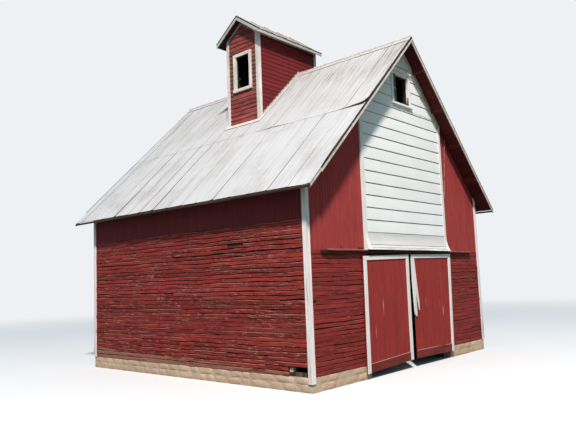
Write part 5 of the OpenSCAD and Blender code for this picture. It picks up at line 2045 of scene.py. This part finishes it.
@dataclass
class Headhouse:
    """Clapboards over the headhouse's walls."""

    rise: float = 0.955
    pitch: float = BARN.head_pitch
    lap: float = 0.128
    corner: float = 0.095
    frieze: float = 0.08
    flashing: float = 0.1
    lift: float = 0.016
    foot: float = 0.02
    front: float = 0.17
    window: Point = (0.389, 8.114, 9.307)

    def end_rows(self, foot: float, window: bool) -> list[list[Pair]]:
        """Clapboards of an end wall, cut at the corner boards, the frieze and the window.

        Args:
            foot: Height of the lowest butt.
            window: Whether the wall has the window.

        Returns:
            Corners of the boards, with Y along and Z up.
        """
        rows = []
        half, tan = BARN.head_half - self.corner, math.tan(self.pitch)
        apex = BARN.ridge + self.rise + BARN.head_half * tan - self.frieze / math.cos(self.pitch) + 0.03
        side, sill, head = self.window
        for low in np.arange(foot, apex - 0.02, self.lap):
            high = min(low + self.lap, apex)
            a, b = (min(half, (apex - v) / tan + 0.02) for v in (low, high))
            if window and high > sill + 0.02 and low < head - 0.02:
                rows.append([(-a, low), (-side, low), (-side, high), (-b, high)])
                rows.append([(side, low), (a, low), (b, high), (side, high)])
            else:
                rows.append([(-a, low), (a, low), (b, high), (-b, high)])
        return rows

    def side_rows(self) -> list[list[Pair]]:
        """Clapboards of a side wall, cut at the foot along the flashing on the roof's slopes.

        Returns:
            Corners of the boards, with X along and Z up.
        """
        rows = []
        x0, x1 = -BARN.head_front + self.corner, BARN.head_rear - self.corner
        top = BARN.ridge + self.rise - self.frieze + 0.01
        for low in np.arange(float(BARN.roof_z(x0)) + self.flashing, top - 0.02, self.lap):
            high = min(low + self.lap, top)
            a, b = (max(0.0, (BARN.ridge + self.flashing - v) / BARN.tan) for v in (low, high))
            if a <= 0:
                rows.append(rect(x0, x1, low, high))
                continue
            rows.append([(x0, low), (min(-a, -0.001), low), (min(-b, -0.001), high), (x0, high)])
            if x1 > b + 0.02:
                rows.append([(min(x1, a), low), (x1, low), (x1, high), (max(b, 0.001), high)])
        return rows

    def flashings(self) -> Skin:
        """Bent sheets on the roof at the headhouse's foot: one before it and one along each side.

        Returns:
            The sheets.
        """
        rng = np.random.default_rng(53)
        half, top = BARN.head_half + 0.001, 0.01
        wide = half + self.flashing
        plank = Plank(thick=0.003, chamfer=0.001, bow=0.003, sway=0.003, wave=2.2, stations=30, edge=0.6)
        parts = []
        for side, front in ((-1, BARN.head_front), (1, BARN.head_rear)):
            foot = front / BARN.cos
            spans = [rect(-wide, -half, top, foot + 0.004), rect(half, wide, top, foot + 0.004),
                     rect(-wide, wide, foot + 0.002, foot + self.front)]
            parts.append(planks(BARN.slope(side, self.lift), spans, plank, rng))
        return Skin.join(parts)

    def dress(self) -> None:
        """Nails the clapboards on and lays the flashings."""
        put("headhouse_flashings", self.flashings(), FLASHING)
        rng = np.random.default_rng(51)
        plank = Plank(thick=0.019, chamfer=0.002, taper=0.016, back=-0.004, bow=0.0015, sway=0.0035, wave=3.0,
                      stations=14, edge=0.5)
        ends = []
        for side, reach in ((-1, BARN.head_front), (1, BARN.head_rear)):
            rows = self.end_rows(float(BARN.roof_z(reach)) + self.foot, side < 0)
            ends.append(planks(facing(side, 0, reach), rows, plank, rng))
        put("headhouse_end_clapboards", Skin.join(ends), RED_CLAP_FRONT)
        sides = [planks(facing(0, side, BARN.head_half), self.side_rows(), plank, rng) for side in (-1, 1)]
        put("headhouse_side_clapboards", Skin.join(sides), RED_CLAP_SIDE)


# ---------------- foundation


@dataclass
class Rubble:
    """A rubble wall: rounded stones in two courses, set in mortar."""

    name: str
    plane: Plane
    start: float
    end: float
    seed: int
    node: str
    height: float = BARN.base
    depth: float = BARN.base_t
    courses: Pair = (0.165, 0.155)
    stone: Pair = (0.22, 0.62)
    recess: float = 0.05
    core: float = 0.009

    def stones(self, out: float, rng: Source) -> Skin:
        """Stones on one face.

        Each is a rounded block: its sections are rounded squares that shrink towards its ends by the
        cube root of one less the seventh power of the share along, and noise pushes the points.

        Args:
            out: Which face, as the distance of the stones' middles out of the plane.
            rng: Source of the sizes.

        Returns:
            The stones.
        """
        middles, halves = [], []
        low = 0.0
        for tall in self.courses:
            a = self.start
            while a < self.end - 0.02:
                long = min(rng.uniform(*self.stone), self.end - a)
                if self.end - a - long < 0.16:
                    long = self.end - a
                middles.append((a + long / 2, low + tall / 2, out))
                halves.append((long / 2 - 0.003, tall / 2 - 0.002, rng.uniform(0.044, 0.05)))
                a += long
            low += tall
        middle, half = (np.array(v).T[:, :, None, None] for v in (middles, halves))
        s = np.array([-1.0, -0.96, -0.85, -0.45, 0.45, 0.85, 0.96, 1.0])
        angle = np.linspace(0, TURN, 16, endpoint=False)
        radius = ((1 - np.abs(s * 0.985) ** 7) ** (1 / 3.0))[None, :, None]
        sines, cosines = (np.sign(v) * np.abs(v) ** 0.35 for v in (np.sin(angle), np.cos(angle)))
        jitter = rng.normal(0, 0.0025, (3, len(middles), len(s), len(angle)))
        a = middle[0] + s[None, :, None] * half[0] + jitter[0]
        b = middle[1] + sines[None, None] * radius * half[1] + jitter[1]
        c = middle[2] + cosines[None, None] * radius * half[2] + jitter[2]
        b, c = b.clip(0.0, self.height - 0.001), c.clip(-self.depth + 0.0005, -0.0005)
        return lofts(self.plane.at(a, b, c), rng.uniform(0, 1, len(middles)))

    def dress(self) -> None:
        """Lays the stones and the mortar core."""
        rng = np.random.default_rng(self.seed)
        faces = [self.stones(out, rng) for out in (-self.recess, self.recess - self.depth)]
        put(self.name + "_stones", Skin.join(faces), STONE, self.node)
        a = np.linspace(self.start, self.end, 60)[:, None]
        front, rear, top = -self.core, self.core - self.depth, self.height - 0.002
        ring = self.plane.at(a, np.array([[0.0, top, top, 0.0]]), np.array([[front, front, rear, rear]]))
        put(self.name + "_mortar", lofts(ring[None], 0.5), MORTAR)


@dataclass
class Foundation:
    """Rubble walls round the plan, open at the doorway, and the loose stone in the rotted gap."""

    seed: int = 61
    loose: tuple[Pair, Pair, Pair] = ((-3.7, -3.58), (0.321, 0.5), (-0.15, -0.04))

    def dress(self) -> None:
        """Lays all five lengths of wall and the stone."""
        half, inner, door = BARN.half, BARN.half - BARN.base_t, BARN.door_half
        left = facing(-1, 0, half)
        walls = (("left", left, -half, half), ("right", facing(1, 0, half), -half, half),
                 ("rear", facing(0, 1, half), -inner, inner), ("front_left", FRONT, -inner, -door),
                 ("front_right", FRONT, door, inner))
        for index, (name, plane, start, end) in enumerate(walls):
            node = "foundation_" + name.split("_")[0]
            Rubble("foundation_" + name, plane, start, end, self.seed + index, node).dress()
        put("stone_in_gap", board(left, *self.loose, 0.02), STONE)


# ---------------- studio


@dataclass(frozen=True)
class Studio:
    """Pale floor, soft light and the camera."""

    pale: Colour = (0.86, 0.88, 0.9)
    ground: Colour = (0.74, 0.75, 0.75)
    sky: Colour = (0.58, 0.79, 0.98)
    bounced: Colour = (0.12, 0.15, 0.12)
    fill: float = 0.45
    key: float = 49400.0
    key_side: float = 4.5
    key_colour: Colour = (1.0, 0.935, 0.89)
    key_place: Point = (-28.0, -28.0, 49.1)
    middle: Point = (0.0, 0.0, 4.0)
    floor_half: float = 400.0
    fade: Pair = (11.0, 42.0)
    eye: Point = (-14.277, -12.591, 2.413)
    turns: Point = (48.5821, 6.2315, -2.2054)
    lens: float = 37.72
    sensor: float = 36.0
    sight: float = 2000.0

    def shown(self, wiring: Wiring) -> Socket:
        """1 for rays that see the background itself: from the camera, in gloss and through glass.

        Args:
            wiring: The nodes of the background or the floor.

        Returns:
            The number.
        """
        rays = wiring.add("LightPath").outputs
        first = wiring.maths("MAXIMUM", rays["Is Camera Ray"], rays["Is Glossy Ray"])
        return wiring.maths("MAXIMUM", first, rays["Is Transmission Ray"])

    def world(self) -> None:
        """A pale background that lights the object at a lower level."""
        world = bpy.data.worlds.new("studio")
        bpy.context.scene.world = world
        world.use_nodes = True
        wiring = Wiring(world.node_tree)
        seen, light = (wiring.add("Background", {"Color": colour, "Strength": level}).outputs[0]
                       for colour, level in ((self.pale, 1.0), (self.sky, self.fill)))
        mixed = wiring.add("MixShader", {0: self.shown(wiring), 1: light, 2: seen})
        wiring.add("OutputWorld", {0: mixed.outputs[0]})

    def floor(self) -> None:
        """A wide floor that fades into the background far off and throws little light back on the barn."""
        material = bpy.data.materials.new("pale_floor")
        material.use_nodes = True
        wiring = Wiring(material.node_tree)
        reach = wiring.vector("LENGTH", wiring.coord())
        far = wiring.times(wiring.band(reach, *self.fade), self.shown(wiring))
        colour = wiring.mix(self.shown(wiring), self.bounced, self.ground)
        body = wiring.add("BsdfDiffuse", {"Color": colour})
        glow = wiring.add("Emission", {"Color": self.pale, "Strength": 1.0})
        mixed = wiring.add("MixShader", {0: far, 1: body.outputs[0], 2: glow.outputs[0]})
        wiring.add("OutputMaterial", {0: mixed.outputs[0]})
        mesh = bpy.data.meshes.new("studio_floor")
        half = self.floor_half
        mesh.from_pydata([(x, y, 0) for x, y in rect(-half, half, -half, half)], [], [(0, 1, 2, 3)])
        floor = bpy.data.objects.new("studio_floor", mesh)
        mesh.materials.append(material)
        bpy.context.scene.collection.objects.link(floor)

    def hang(self, name: str, data: bpy.types.ID, place: Point, axes: tuple[Array, ...]) -> bpy.types.Object:
        """Sets a lamp or camera at a place.

        Args:
            name: Its name.
            data: The lamp or camera.
            place: Where it stands.
            axes: The directions to its right, up and forward.

        Returns:
            The object.
        """
        thing = bpy.data.objects.new(name, data)
        bpy.context.scene.collection.objects.link(thing)
        right, up, forward = axes
        rows = [(right[i], up[i], -forward[i], place[i]) for i in range(3)]
        thing.matrix_world = Matrix(rows + [(0, 0, 0, 1)])
        return thing

    def lamp(self) -> None:
        """A square soft light that looks at the middle of the barn."""
        data = bpy.data.lights.new("key_light", "AREA")
        data.energy, data.size, data.color = self.key, self.key_side, self.key_colour
        aim = np.subtract(self.middle, self.key_place)
        aim = aim / np.linalg.norm(aim)
        side = np.cross(aim, (0, 0, 1.0))
        side = side / np.linalg.norm(side)
        self.hang("key_light", data, self.key_place, (side, np.cross(side, aim), aim))

    def camera(self) -> None:
        """The camera at the photograph's place, angle and lens."""
        yaw, pitch, roll = (math.radians(v) for v in self.turns)
        flat = math.cos(pitch)
        forward = np.array([math.sin(yaw) * flat, math.cos(yaw) * flat, math.sin(pitch)])
        level = np.array([math.cos(yaw), -math.sin(yaw), 0.0])
        upright = np.cross(level, forward)
        right = math.cos(roll) * level + math.sin(roll) * upright
        up = -math.sin(roll) * level + math.cos(roll) * upright
        data = bpy.data.cameras.new("camera")
        data.lens, data.sensor_width, data.clip_end = self.lens, self.sensor, self.sight
        bpy.context.scene.camera = self.hang("camera", data, self.eye, (right, up, forward))

    def build(self) -> None:
        """Sets the whole studio up."""
        bpy.context.scene.view_settings.view_transform = "Standard"
        self.world()
        self.floor()
        self.camera()
        self.lamp()


def main() -> None:
    """Builds the dressed barn in the studio."""
    logging.basicConfig(level=logging.INFO, format="%(message)s")
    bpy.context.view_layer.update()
    Studio().build()
    Foundation().dress()
    Walls().dress()
    for side in (-1, 1):
        SheetRoof(side).dress()
    eaves = Skin.join([SheetRoof(side).eave_board() for side in (-1, 1)])
    put("eave_boards", eaves, EAVE_SHADE_GREY, "eave_fascias")
    for part in (RidgeCap(), GablePanel(), GableWindow(), HeadWindow(), Headhouse()):
        part.dress()
    Door("left", LEFT_DOOR, 71).dress()
    Door("right", RIGHT_DOOR, 72, broken=True).dress()
    TrackCovers().dress()
    WHITE_TRIM.dress("panel_edge_boards")
    WHITE_HEAD.dress("headhouse_corner_boards")
    GREY_TRIM.dress("headhouse_trim")
    WHITE_CORNER.dress("corner_boards")
    WHITE_RAKE.dress("rake_frieze", "bargeboards")
    RED_LOOKOUTS.dress("lookouts")
    SOFFIT_SHADE.dress("headhouse_roof_boards")
    HEAD_FRONT.dress("headhouse_front", "headhouse_rear")
    HEAD_SIDE.dress("headhouse_sides")
    ROOF_HEAD.dress("headhouse_roof")
    TIMBER.dress("rafters_left", "rafters_right")
    IRON.dress("door_track", "door_left_hangers", "door_right_hangers")


if __name__ == "__main__":
    main()
